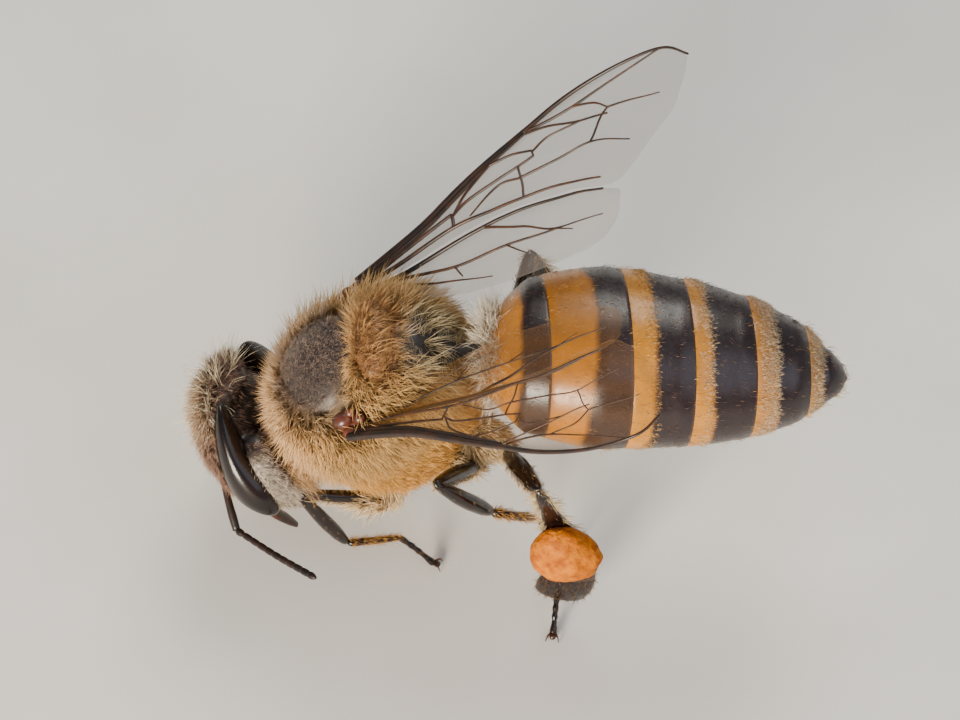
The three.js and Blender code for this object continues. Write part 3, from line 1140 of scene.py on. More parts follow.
@dataclass
class WingScales:
    """The glossy scales over the wing roots, each with the small knuckles that the wing turns on."""

    half: Triple = (0.2, 0.16, 0.15)
    knuckles: tuple = (
        ((0.1, 0.02, -0.2), 0.12),
        ((0.26, -0.02, -0.14), 0.11),
        ((-0.08, 0.05, -0.24), 0.1),
        ((0.18, -0.08, 0.02), 0.09),
    )

    @staticmethod
    def middle(side: Side) -> Array:
        """Where a scale lies, sunk a little into the coat."""
        return box_middle(f"tegula_{side.word}") + (-0.04, -side.value * 0.03, -0.22)

    def build(self, wings: "Wings") -> None:
        """Makes both scales in place of their solids.

        Args:
            wings: The wings, whose roots lie under the scales.
        """
        red = PolishedChitin("wing_scale_cuticle", "#26110C", "#643426", roughness=0.34, coat=0.2).material()
        thorax = PLAN.thorax()
        for side in Side:
            middle = thorax.inward(self.middle(side))
            shapes = [egg(thorax, tuple(middle), self.half, (32, 20))]
            for (x, y, z), radius in self.knuckles:
                centre = middle + np.array([x, side.value * y, z])
                shapes.append(egg(thorax, tuple(centre), (radius * 1.3, radius, radius), (20, 12)))
            wing = next(wing for wing in wings.sets if wing.side == side)
            points, faces = egg(wings.place(wing), (-0.02, 0.03, -0.02), (0.2, 0.12, 0.1), (20, 12))
            shapes.append((points, wings.facing(wing, faces)))
            piece(f"wing_scale_{side.word}", join_shapes(shapes), "scale", red, f"tegula_{side.word}")


# ---- abdomen

@dataclass(frozen=True)
class PlateMarks:
    """The markings of one ring: where its dark band starts on top and at the sides, and its pale colour."""

    dark_top: float
    dark_side: float
    pale: str
    felt: float  # how far back the pale felt reaches, as a share of the ring


@dataclass
class Bed:
    """A surface that hair grows on, in millimetres, with a value of each kind for each point."""

    points: Points
    faces: Faces
    normals: Array
    values: dict[str, Array] = field(default_factory=dict)

    @classmethod
    def of_mesh(cls, mesh: Mesh) -> "Bed":
        """Takes the points, faces and normals of a mesh."""
        return cls(read(mesh.vertices), polygons(mesh), read(mesh.vertices, "normal"))

    @classmethod
    def joined(cls, beds: list["Bed"]) -> "Bed":
        """Joins several beds into one.

        Args:
            beds: The beds, with values of the same kinds.

        Returns:
            The joined bed.
        """
        points, faces = join_shapes([(bed.points, bed.faces) for bed in beds])
        values = {key: np.concatenate([bed.values[key] for bed in beds]) for key in beds[0].values}
        return cls(points, faces, np.vstack([bed.normals for bed in beds]), values)


@dataclass
class Abdomen:
    """Six overlapping rings, each a back plate over a belly plate, banded orange and dark."""

    columns: int = 144
    rows: int = 26
    lap: float = 0.16
    step_in: float = 0.13
    inset: float = 0.05  # depth of the short coat
    edge_shift: tuple[float, ...] = (0.26, 0.35, 0.41, 0.34, 0.2)
    last_ring: tuple[Span, ...] = ((0.3, 1.0), (0.5, 1.1), (0.75, 1.55))  # places and their plumpness
    overlap: float = 0.15
    plane_turn: Span = (0.115, 0.107)  # how the rings' planes lean, sideways and upward
    belly_from: float = 122.0  # degrees from the top where the belly plates start
    marks: tuple[PlateMarks, ...] = (
        PlateMarks(0.6, 0.56, "#AE6E1C", 0.0),
        PlateMarks(0.6, 0.5, "#AC6A10", 0.1),
        PlateMarks(0.44, 0.4, "#BA7A18", 0.22),
        PlateMarks(0.34, 0.4, "#B07420", 0.3),
        PlateMarks(0.42, 0.46, "#AE7228", 0.38),
        PlateMarks(0.42, 0.46, "#A47640", 0.4),
    )
    beds: list[Bed] = field(default_factory=list)

    def __post_init__(self) -> None:
        """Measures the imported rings."""
        names = [f"abdomen_ring_{i}" for i in range(1, 7)]
        corners = np.concatenate([node_triangles(name) for name in names])
        faces = np.arange(len(corners) * 3).reshape(-1, 3)
        tree = BVHTree.FromPolygons(corners.reshape(-1, 3).tolist(), faces.tolist())
        boxes = [[np.array(corner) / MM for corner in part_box(name)] for name in names]
        rears = [high[0] - shift for (_, high), shift in zip(boxes, self.edge_shift)]
        starts = [boxes[0][0][0], *(rear - self.overlap for rear in rears)]
        self.ends = list(zip(starts, [*rears, boxes[-1][1][0]]))
        rows = [self.measure(tree, low, high, share) for low, high in boxes[:-1] for share in (0.5, 0.75)]
        rows += [self.measure(tree, *boxes[-1], share, plump) for share, plump in self.last_ring]
        first, last = rows[0], rows[-1]
        rows.insert(0, (self.ends[0][0], first[1], first[2] - 0.05, 0.62, 0.55))
        rows.append((self.ends[-1][1] - 0.06, last[1], last[2] - 0.02, 0.19, 0.18))
        rows.append((self.ends[-1][1], last[1], last[2] - 0.02, 0.0, 0.0))
        self.profile = smooth_path(np.array(rows), 200)

    @staticmethod
    def measure(tree: BVHTree, low: Array, high: Array, share: float, plump: float = 1.0) -> tuple:
        """Measures a ring's solid at one place along it.

        Args:
            tree: The rings' solids.
            low: The lowest corner of the ring's box.
            high: Its highest corner.
            share: The place along the ring.
            plump: How much fuller than its solid the ring is there.

        Returns:
            The place, the middle (Y, Z), and the half width and height.
        """
        far = 9.0
        x = low[0] + share * (high[0] - low[0])
        middle = (low[1] + high[1]) / 2 + 0.013  # off the solids' own edges
        tall = [tree.ray_cast(Vector((x, middle, far * way)), Vector((0, 0, -way)))[0].z for way in (-1, 1)]
        level = sum(tall) / 2 + 0.017
        wide = [tree.ray_cast(Vector((x, far * way, level)), Vector((0, -way, 0)))[0].y for way in (-1, 1)]
        halves = ((far_end - near_end) / 2 * plump for near_end, far_end in (wide, tall))
        return x, sum(wide) / 2, sum(tall) / 2, *halves

    def at(self, x: Array) -> Array:
        """The middle (Y, Z) and the half width and height at a place along the abdomen."""
        return np.column_stack([np.interp(x, self.profile[:, 0], self.profile[:, i]) for i in range(1, 5)])

    def ring_rows(self, index: int) -> Array:
        """The stations of one ring: place along X, step in from the outside, and share of the ring.

        Args:
            index: The ring's number, from 0 at the front.

        Returns:
            One row for each station.
        """
        start, end = self.ends[index]
        shares = np.linspace(0, 1, self.rows)
        x = start + shares * (end - start)
        depth = 0.045 * (1 - smoothstep(0, 0.16, shares)) - 0.02 * np.sin(np.pi * shares)
        rows = [(start - self.lap, self.step_in, -0.1), (start - self.lap / 2, 0.08, -0.05)]
        rows += list(zip(x, depth, shares))
        if index < len(self.ends) - 1:
            rows += [(end + 0.012, 0.02, 1.0), (end + 0.01, 0.05, 1.0), (end - 0.03, self.step_in, 1.0)]
        return np.array(rows[2:] if index == 0 else rows)

    def build_ring(self, index: int, finish: Material) -> None:
        """Makes one ring in place of its solid, and keeps its outside as a bed for the coat.

        Args:
            index: The ring's number, from 0 at the front.
            finish: The plates' material.
        """
        rows = self.ring_rows(index)
        turn = 2 * np.pi * np.arange(self.columns) / self.columns
        angle = np.degrees(np.abs((turn + np.pi) % (2 * np.pi) - np.pi))
        around, angle_grid = np.tile(turn, len(rows)), np.tile(angle, len(rows))
        x, depth, share = (np.repeat(column, self.columns) for column in rows.T)
        belly = self.belly(angle_grid)
        depth = depth + self.inset + 0.06 * belly
        wide, high = self.at(x)[:, 2:].T
        lean = self.plane_turn[1] * high * np.cos(around) - self.plane_turn[0] * wide * np.sin(around)
        lean = lean * {0: np.clip(share, 0, 1), 5: np.clip(1 - share, 0, 1)}.get(index, 1.0)
        x = x + lean - 0.05 * belly * np.clip(share, 0, 1)
        middle_y, middle_z, wide, high = self.at(x).T
        y = middle_y + np.maximum(wide - depth, 0.006) * np.sin(around)
        z = middle_z + np.maximum(high - depth, 0.006) * np.cos(around)
        points = np.column_stack([x, y, z])
        poles = [points[: self.columns].mean(axis=0), points[-self.columns:].mean(axis=0)]
        points = np.vstack([poles[0], points, poles[1]])
        made = mesh_object(f"abdomen_plate_{index + 1}", points, capped_faces(self.columns, len(rows)))
        share, angle, around = (np.pad(values, 1) for values in (share, angle_grid, around))
        share[-1] = 1
        set_attribute(made.data, "tint", self.tints(index, share, angle, around), "FLOAT_COLOR")
        outside = Bed.of_mesh(made.data)
        outside.faces = [face for face in outside.faces if min(share[list(face)]) >= 0]
        outside.values = {"share": share, "angle": angle, "ring": np.full(len(share), index)}
        self.beds.append(outside)
        settle(made, finish, (f"abdomen_ring_{index + 1}",))

    def belly(self, angle: Array) -> Array:
        """How far each angle from the top belongs to the belly plate, from 0 to 1."""
        return smoothstep(self.belly_from - 3, self.belly_from + 3, angle)

    def tints(self, index: int, share: Array, angle: Array, around: Array) -> Array:
        """The ring's colours: amber in front, a dark band behind, and a paler belly.

        Args:
            index: The ring's number, from 0 at the front.
            share: Each point's place along the ring.
            angle: Its degrees from the top.
            around: Its turn around the ring.

        Returns:
            The linear colour of each point.
        """
        marks = self.marks[index]
        side = smoothstep(20, 80, angle)
        edge = marks.dark_top + (marks.dark_side - marks.dark_top) * side
        edge = edge + 0.012 * np.sin(5 * around + index) + 0.008 * np.sin(13 * around + 2 * index)
        dark = smoothstep(-0.035, 0.045, share - edge)
        if index == 1:
            dark = np.maximum(dark, 0.9 * smoothstep(0.13, 0.05, share) * smoothstep(28, 50, angle))
        rim = smoothstep(0.955, 0.99, share) * 0.35
        belly_tint = lay("#8E6436", len(share), (0.75 * dark, "#3A261C"))
        layers = [(dark, "#211517"), (rim, "#6A4630"), (self.belly(angle), belly_tint)]
        return lay(marks.pale, len(share), *layers)

    def build(self) -> None:
        """Makes the six rings."""
        finish = MarkedChitin("abdomen_plate_cuticle", roughness=0.31, coat=0.08).material()
        for index in range(len(self.ends)):
            self.build_ring(index, finish)


# ---- legs and pollen

@dataclass(frozen=True)
class LegForm:
    """The shape of one pair of legs: half widths along each piece, and the caps of its solids."""

    coxa: tuple[float, ...]
    femur: tuple[float, ...]
    tibia: tuple[float, ...]
    heel: tuple[float, ...]
    femur_cap: float
    tibia_cap: float
    heel_reach: float
    tibia_flat: float = 0.9
    heel_flat: float = 0.9
    coxa_cap: float = 0.28


@dataclass
class Legs:
    """Six jointed legs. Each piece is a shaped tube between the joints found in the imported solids."""

    forms: dict[str, LegForm] = field(
        default_factory=lambda: {
            "fore": LegForm(
                (0.2, 0.24, 0.2, 0.13),
                (0.085, 0.12, 0.13, 0.125, 0.11, 0.08),
                (0.075, 0.11, 0.13, 0.135, 0.12, 0.08),
                (0.07, 0.075, 0.07, 0.06),
                femur_cap=0.27, tibia_cap=0.28, heel_reach=0.25,
            ),
            "mid": LegForm(
                (0.22, 0.27, 0.22, 0.14),
                (0.09, 0.13, 0.155, 0.155, 0.13, 0.09),
                (0.08, 0.12, 0.155, 0.165, 0.15, 0.1),
                (0.09, 0.125, 0.12, 0.08),
                femur_cap=0.28, tibia_cap=0.3, heel_reach=0.26, heel_flat=0.6,
            ),
            "hind": LegForm(
                (0.24, 0.3, 0.26, 0.16),
                (0.1, 0.15, 0.18, 0.18, 0.15, 0.1),
                (0.09, 0.14, 0.21, 0.28, 0.32, 0.28),
                (0.32, 0.46, 0.5, 0.42),
                femur_cap=0.3, tibia_cap=0.48, heel_reach=0.36, tibia_flat=0.42, heel_flat=0.28,
            ),
        }
    )
    toe: tuple[float, ...] = (0.05, 0.062, 0.045, 0.06, 0.045, 0.058, 0.042, 0.05, 0.062, 0.066)
    claw_length: float = 0.2
    claw_radius: float = 0.028
    nudges: tuple = (
        ("fore", 2, (-0.18, 0.05, 0.24)),
        ("mid", 4, (0.14, 0.085, 0.25)),
        ("hind", 2, (0.1, 0, 0.1)),
    )
    right_knees: tuple = (
        ("mid", (-0.42, 0.0, -0.38)),  # lies further forward and lower than the left
        ("hind", (-0.3, 0.1, 0.2)),  # is drawn up higher than the left
    )
    beds: dict[Side, Bed] = field(default_factory=dict)

    def joints(self, kind: str, side: Side) -> list[Array]:
        """The joints of one leg, from the body to the foot.

        Args:
            kind: fore, mid or hind.
            side: The side of the bee.

        Returns:
            Root, trochanter, knee, ankle, heel and foot.
        """
        form = self.forms[kind]
        names = [f"{kind}_{part}_{side.word}" for part in ("coxa", "femur", "tibia", "tarsus")]
        ends = limb_ends(names[0], box_middle("thorax"), (0.3, 1, 1))
        way = unit(ends[1] - ends[0])
        root, trochanter = ends[0] + way * 0.36, ends[1] - way * form.coxa_cap
        knee = far_joint(names[1], trochanter, form.femur_cap)
        ankle = far_joint(names[2], knee, form.tibia_cap)
        tarsus = node_points(names[3])
        sole = tarsus[tarsus[:, 2] < tarsus[:, 2].min() + 0.02]
        foot = np.append((sole[:, :2].min(axis=0) + sole[:, :2].max(axis=0)) / 2, tarsus[:, 2].min() + 0.09)
        chord = unit(foot - ankle)
        off = (tarsus - ankle) - np.outer((tarsus - ankle) @ chord, chord)
        bend = tarsus[np.argmax(np.linalg.norm(off, axis=1))]
        inner = (ankle + foot) / 2
        heel = bend - unit(bend - inner) * form.heel_reach
        stops = [root, trochanter, knee, ankle, heel, foot]
        for leg, number, (x, y, z) in self.nudges:
            if leg == kind:
                stops[number] = stops[number] + (x, -side.value * y, z)
        for leg, shift in self.right_knees:
            if leg == kind and side is Side.RIGHT:
                stops[2] = stops[2] + shift
        return stops

    def build(self) -> None:
        """Makes all six legs in place of their solids."""
        finish = PolishedChitin("leg_cuticle", "#0A0606", "#1A0E0A", roughness=0.22, coat=0.06).material()
        horn = PolishedChitin("claw_horn", "#120B0A", "#5A2E1A", roughness=0.3).material()
        for side in Side:
            parts, labels = [], []
            for number, kind in enumerate(self.forms):
                stops = self.joints(kind, side)
                for order, shape in enumerate(self.build_leg(kind, side, finish, horn)):
                    parts.append(shape)
                    stretch = stops[order + 1] - stops[order]
                    share = (shape[0] - stops[order]) @ stretch / (stretch @ stretch)
                    label = np.tile((number, order, *unit(stretch)), (len(share), 1))
                    labels.append(np.column_stack([label, share]))
            bed_mesh = mesh_object("leg_bed", *join_shapes(parts))
            bed = Bed.of_mesh(bed_mesh.data)
            label = np.vstack(labels)
            bed.values = {"kind": label[:, 0], "piece": label[:, 1].astype(int), "share": label[:, 5]}
            bed.values["along"] = label[:, 2:5]
            self.beds[side] = bed
            bpy.data.objects.remove(bed_mesh)

    def build_leg(self, kind: str, side: Side, finish: Material, horn: Material) -> list[Shape]:
        """Makes one leg: four pieces and its claws.

        Args:
            kind: fore, mid or hind.
            side: The side of the bee.
            finish: The cuticle's material.
            horn: The claws' material.

        Returns:
            The shapes that hair grows on: coxa, femur, tibia, heel and toes.
        """
        form = self.forms[kind]
        root, trochanter, knee, ankle, heel, foot = self.joints(kind, side)
        broad = np.array([1.0, 0, 0.2])
        stretches = {
            "coxa": (root, trochanter, form.coxa, 0.9),
            "femur": (trochanter, knee, form.femur, 0.92),
            "tibia": (knee, ankle, form.tibia, form.tibia_flat),
        }
        shapes = {part: self.tube(*stretch, broad) for part, stretch in stretches.items()}
        foot_shapes = [self.tube(ankle, heel, form.heel, form.heel_flat, broad), self.toes(heel, foot)]
        for part, shape in {**shapes, "tarsus": join_shapes(foot_shapes)}.items():
            name = f"{kind}_{part}_{side.word}"
            piece(f"{name}_cuticle", shape, "shell", finish, name)
        piece(f"{kind}_claws_{side.word}", self.claws(heel, foot), "shell", horn)
        return [*shapes.values(), *foot_shapes]

    @staticmethod
    def tube(start: Array, end: Array, radii: tuple[float, ...], flat: float, broad: Array) -> Shape:
        """One piece of a leg, a little bowed, with rounded ends.

        Args:
            start: Where it starts.
            end: Where it ends.
            radii: Half widths along it.
            flat: Thickness over width.
            broad: The direction of the width.

        Returns:
            Points and faces.
        """
        count = 26
        bow = np.cross(unit(end - start), broad) * 0.02
        path = smooth_path([start, (start + end) / 2 + bow, end], count)
        place = np.linspace(0, 1, count)
        widths = spread(radii, count) * np.sqrt(np.clip(1 - np.abs(2 * place - 1) ** 14, 0.12, 1))
        flats = flat + (1 - flat) * (1 - smoothstep(0.0, 0.3, place))
        return sweep(path, widths, 20, broad, flats)

    def toes(self, heel: Array, foot: Array) -> Shape:
        """The three short joints and the longer last joint of the foot."""
        path = smooth_path([heel, (heel + foot) / 2 + (0, 0, 0.03), foot], 40)
        return sweep(path, spread(self.toe, 40), 14, ACROSS)

    def claws(self, heel: Array, foot: Array) -> Shape:
        """Two hooked claws and the soft pad between them, on the floor.

        Args:
            heel: Where the foot starts.
            foot: Where it ends.

        Returns:
            Points and faces.
        """
        ahead = foot - heel
        ahead = unit(np.array([ahead[0], ahead[1], 0.0]))
        beside = np.array([-ahead[1], ahead[0], 0])
        shapes = []
        for way in (-1, 1):
            bend = foot + ahead * self.claw_length * 0.55 + beside * way * 0.09 + (0, 0, 0.02)
            tip = foot + ahead * self.claw_length * 0.8 + beside * way * 0.12 - (0, 0, 0.075)
            path = smooth_path([foot + beside * way * 0.02, bend, tip], 12)
            shapes.append(sweep(path, np.linspace(self.claw_radius, 0.006, 12), 10, beside))
        points, faces = ball(16, 10)
        shapes.append((points * 0.06 + foot + ahead * 0.08 - (0, 0, 0.025), faces))
        return join_shapes(shapes)


@dataclass
class PollenLoads:
    """A load of pollen on the outer face of each hind leg, lumpy where the grains were packed."""

    half: Triple = (0.62, 0.4, 0.68)
    lump: float = 0.035
    lump_size: float = 0.32

    def build(self, legs: Legs) -> None:
        """Makes both loads in place of their solids.

        Args:
            legs: The legs that carry them.
        """
        finish = PackedPollen().material()
        for side in Side:
            knee, ankle = legs.joints("hind", side)[2:4]
            along = unit(ankle - knee)
            wide = unit(AFT - along * along[0])
            turn = np.column_stack([wide, np.cross(along, wide), along])
            place = LocalFrame(box_middle(f"pollen_{side.word}") + (0, -side.value * 0.11, 0.08), turn)
            points, faces = ball(96, 60)
            swell = 1 + 0.14 * points[:, 2:3]
            body = points * self.half * np.hstack([swell, swell, np.ones_like(swell)])
            rough = [noise.fractal(Vector(p) / self.lump_size, 0.8, 2.1, 4) for p in body]
            body = body * (1 + self.lump * 2 * np.array(rough)[:, None])
            shape = (place.outward(body), faces)
            piece(f"pollen_load_{side.word}", shape, "pollen", finish, f"pollen_{side.word}")


# ---- wings

Curve2 = tuple[tuple[float, float], ...]

FOREWING_FRONT: Curve2 = (
    (0.0, -0.012), (0.134, -0.029), (0.217, -0.043), (0.309, -0.068), (0.421, -0.094),
    (0.541, -0.113), (0.645, -0.127), (0.751, -0.124), (0.855, -0.104), (0.952, -0.062), (1.0, 0.005),
)
FOREWING_REAR: Curve2 = (
    (0.0, 0.012), (0.121, 0.048), (0.312, 0.068), (0.482, 0.112), (0.6, 0.165),
    (0.68, 0.21), (0.722, 0.23), (0.778, 0.213), (0.859, 0.169), (0.937, 0.115), (1.0, 0.005),
)
HINDWING_FRONT: Curve2 = (
    (0.05, 0.03), (0.121, 0.05), (0.312, 0.07), (0.482, 0.112), (0.6, 0.165), (0.68, 0.21), (0.725, 0.25),
)
HINDWING_REAR: Curve2 = (
    (0.05, 0.03), (0.09, 0.1), (0.2, 0.2), (0.33, 0.268),
    (0.45, 0.31), (0.599, 0.352), (0.677, 0.333), (0.725, 0.25),
)


@dataclass(frozen=True)
class Vein:
    """One vein: its bends in shares of the wing's length, and its half widths at both ends, in mm."""

    bends: Curve2
    start: float
    end: float


FOREWING_VEINS: tuple[Vein, ...] = (
    Vein(FOREWING_FRONT, 0.06, 0.016),
    Vein(
        ((0.0, 0.0), (0.134, -0.016), (0.217, -0.03), (0.309, -0.055), (0.421, -0.082), (0.53, -0.104)),
        0.05, 0.024,
    ),
    Vein(((0.02, 0.008), (0.14, -0.002), (0.288, -0.012)), 0.036, 0.024),
    Vein(
        (
            (0.0, 0.01), (0.107, 0.026), (0.285, 0.031), (0.4, 0.062),
            (0.485, 0.092), (0.583, 0.127), (0.69, 0.19),
        ),
        0.034, 0.014,
    ),
    Vein(((0.288, -0.012), (0.29, 0.008), (0.286, 0.031)), 0.026, 0.026),
    Vein(((0.289, -0.004), (0.34, -0.022), (0.44, -0.02), (0.493, -0.016), (0.54, -0.016)), 0.024, 0.018),
    Vein(((0.3, -0.012), (0.335, -0.045), (0.423, -0.079)), 0.022, 0.018),
    Vein(((0.423, -0.079), (0.487, -0.064), (0.538, -0.038)), 0.02, 0.016),
    Vein(((0.538, -0.038), (0.54, -0.016)), 0.016, 0.014),
    Vein(((0.493, -0.016), (0.492, 0.028), (0.485, 0.092)), 0.018, 0.018),
    Vein(((0.49, 0.024), (0.428, 0.002), (0.335, 0.031)), 0.018, 0.012),
    Vein(((0.49, 0.024), (0.603, 0.046), (0.692, 0.063), (0.79, 0.135)), 0.02, 0.01),
    Vein(((0.692, 0.062), (0.737, 0.013), (0.762, -0.004)), 0.016, 0.014),
    Vein(((0.762, -0.004), (0.83, 0.025), (0.9, 0.058)), 0.016, 0.008),
    Vein(((0.54, -0.033), (0.59, -0.044), (0.678, -0.024)), 0.016, 0.014),
    Vein(((0.535, -0.1), (0.6, -0.072), (0.678, -0.026), (0.757, 0.014)), 0.018, 0.014),
    Vein(((0.677, -0.079), (0.733, -0.046), (0.762, -0.004)), 0.016, 0.014),
    Vein(((0.547, -0.104), (0.61, -0.088), (0.677, -0.079), (0.776, -0.077), (0.93, -0.072)), 0.022, 0.012),
)
HINDWING_VEINS: tuple[Vein, ...] = (
    Vein(HINDWING_FRONT[:6], 0.036, 0.016),
    Vein(((0.36, 0.085), (0.45, 0.155), (0.53, 0.227), (0.66, 0.283)), 0.02, 0.008),
    Vein(((0.1, 0.055), (0.252, 0.135), (0.399, 0.181), (0.535, 0.232)), 0.024, 0.014),
    Vein(((0.535, 0.232), (0.575, 0.268)), 0.012, 0.008),
    Vein(((0.252, 0.135), (0.266, 0.181)), 0.016, 0.012),
    Vein(((0.11, 0.08), (0.2, 0.15), (0.34, 0.24)), 0.018, 0.008),
    Vein(((0.399, 0.181), (0.444, 0.244)), 0.014, 0.008),
)


@dataclass(frozen=True)
class WingSet:
    """The two wings of one side: the way they reach and the way from their front edge to their rear edge."""

    side: Side
    reach: Triple
    chord: Triple
    alpha: float
    clear: str
    smoky: str
    flex: float  # how far the middle of the front edge bows inward, in millimetres
    vein_swell: float  # how thick the veins behind the front edge are, as a share of the drawn ones

    def bow(self, points: Points, length: float) -> Points:
        """Bends points of the wing's frame.

        Args:
            points: Places in the wing's frame.
            length: The wing's length.

        Returns:
            The bent points.
        """
        share = np.clip(points[:, 0] / length, 0, 1)
        bowed = self.flex * 4 * share * (1 - share) * np.exp(-np.clip(points[:, 1], 0, None) / 1.6)
        return points + np.column_stack([0 * share, bowed, 0 * share])


@dataclass
class Wings:
    """Four clear wings with their veins. Each membrane lies in the upper face of its solid."""

    length: float = 7.35
    thickness: float = 0.016
    below_face: float = 0.05
    hind_drop: float = 0.1
    front_swell: float = 1.35
    steps: tuple[int, int] = (110, 34)
    sets: tuple[WingSet, ...] = (
        WingSet(
            Side.LEFT, reach=(0.728, -0.3265, 0.6035), chord=(0.44, 0.89, 0.12),
            alpha=0.13, clear="#8E6026", smoky="#3A2010", flex=0.34, vein_swell=0.85,
        ),
        WingSet(
            Side.RIGHT, reach=(0.772, 0.318, 0.55), chord=(0.2246, -0.9467, 0.2334),
            alpha=0.16, clear="#8C827A", smoky="#4A3420", flex=0.0, vein_swell=1.35,
        ),
    )

    def place(self, wing: WingSet) -> LocalFrame:
        """Finds a wing's frame from its solid: X along the wing, Y to its rear edge, Z up out of it.

        Args:
            wing: The wing.

        Returns:
            Its frame.
        """
        along = unit(np.array(wing.reach))
        across = np.array(wing.chord)
        across = unit(across - along * (across @ along))
        normal = np.cross(along, across)
        normal = normal * np.sign(normal[2])
        points = node_points(f"forewing_{wing.side.word}")
        tip = points[np.argmax(points @ along)]
        root = tip - along * self.length - across * 0.005 * self.length
        root = root + normal * ((points @ normal).max() - self.below_face - root @ normal)
        return LocalFrame(root, np.column_stack([along, across, normal]))

    def facing(self, wing: WingSet, faces: Faces) -> Faces:
        """Faces turned so that they look outward in the model."""
        handed = np.linalg.det(self.place(wing).turn) > 0
        return faces if handed else [tuple(reversed(face)) for face in faces]

    def lift(self, x: Array, y: Array) -> Array:
        """How far the membrane is fluted out of flat, in millimetres, by shares of the wing's length."""
        fan = np.sin(2 * np.pi * y / 0.085 + 1.0) * 0.013 * np.clip(x * 3, 0, 1)
        return fan - 0.12 * np.clip(x - 0.55, 0, 1) ** 2 - 0.9 * np.clip(y - 0.05, 0, 1) ** 2

    def membrane(self, front: Curve2, rear: Curve2, drop: float) -> tuple[Points, Faces, Array]:
        """A thin closed sheet between a front edge and a rear edge.

        Args:
            front: The front edge, in shares of the wing's length.
            rear: The rear edge.
            drop: How far the sheet lies below the wing's plane.

        Returns:
            Points in the wing's frame, faces, and the share of smoky colour at each point.
        """
        along, across = self.steps
        near, far = (smooth_path(np.array(edge), along) for edge in (front, rear))
        near, far = near[1:-1], far[1:-1]
        shares = np.linspace(0, 1, across)
        flat = near[:, None, :] + (far - near)[:, None, :] * shares[None, :, None]
        x, y = flat[..., 0].ravel(), flat[..., 1].ravel()
        height = self.lift(x, y) - drop
        edge = np.linalg.norm(flat - near[:, None, :], axis=2).ravel()
        smoke = 0.75 * hump(edge, 0.02) * smoothstep(1.1, 0.3, x) + 0.3 * hump(x, 0.4)
        smoke = np.maximum(smoke, 0.95 * np.exp(-((edge / 0.024) ** 2) - ((x - 0.48) / 0.06) ** 2))
        if drop > 0:
            smoke = smoke * 0.25
        upper = np.column_stack([x * self.length, y * self.length, height])
        lower = np.column_stack([x * self.length, y * self.length, height - self.thickness])
        count = len(x)
        grid = np.arange(count).reshape(-1, across)
        corners = (grid[:-1, :-1], grid[1:, :-1], grid[1:, 1:], grid[:-1, 1:])
        quads = np.stack(corners, axis=-1).reshape(-1, 4)
        quads = np.stack([quads, quads[:, ::-1] + count], axis=1).reshape(-1, 4)
        rim = np.concatenate([grid[:, 0], grid[-1, 1:], grid[-2::-1, -1], grid[0, -2:0:-1]])
        onward = np.roll(rim, -1)
        rim_quads = np.column_stack([onward, rim, rim + count, onward + count])
        faces = [tuple(quad) for quad in np.vstack([quads, rim_quads]).tolist()]
        return np.vstack([upper, lower]), faces, np.clip(np.tile(smoke, 2), 0, 1)

    def build(self) -> None:
        """Makes the membranes and the veins in place of the wings' solids."""
        sweeper = VeinSweeper()
        rib = partial(PolishedChitin, roughness=0.4, coat=0.05)
        dark = rib("front_vein_cuticle", "#130A07", "#30190C").material()
        brown = rib("wing_vein_cuticle", "#1E0F08", "#4A2A14").material()
        for wing in self.sets:
            place = self.place(wing)
            name = f"wing_membrane_{wing.side.word}"
            film = WingMembrane(name, wing.clear, wing.smoky, clear_alpha=wing.alpha).material()
            parts = (
                ("forewing", FOREWING_FRONT, FOREWING_REAR, FOREWING_VEINS, 0.0),
                ("hindwing", HINDWING_FRONT, HINDWING_REAR, HINDWING_VEINS, self.hind_drop),
            )
            for part, front, rear, veins, drop in parts:
                points, faces, smoke = self.membrane(front, rear, drop)
                points = place.outward(wing.bow(points, self.length))
                sheet = mesh_object(f"{part}_membrane_{wing.side.word}", points, self.facing(wing, faces))
                set_attribute(sheet.data, "smoke", smoke, "FLOAT")
                settle(sheet, film, (f"{part}_{wing.side.word}",))
                lines = self.rib_lines(veins, wing, drop)
                fronts = 2 if part == "forewing" else 1
                groups = (("front_veins", lines[:fronts], dark), ("veins", lines[fronts:], brown))
                for word, group, finish in groups:
                    ribs = sweeper.sweep(f"{part}_{word}_{wing.side.word}", group, finish)
                    settle(ribs, None)

    def rib_lines(self, veins: tuple[Vein, ...], wing: WingSet, drop: float) -> list[tuple[Points, Array]]:
        """The centreline and the half widths of each vein, in the model.

        Args:
            veins: The veins.
            wing: The wing they belong to.
            drop: How far they lie below the wing's plane.

        Returns:
            The lines.
        """
        place = self.place(wing)
        lines = []
        for number, vein in enumerate(veins):
            flat = smooth_path(np.array(vein.bends), 6 * len(vein.bends))
            height = self.lift(flat[:, 0], flat[:, 1]) - drop - self.thickness / 2
            points = np.column_stack([flat * self.length, height])
            swell = self.front_swell if number < 2 else wing.vein_swell
            widths = swell * np.linspace(vein.start, vein.end, len(points))
            lines.append((place.outward(wing.bow(points, self.length)), widths))
        return lines


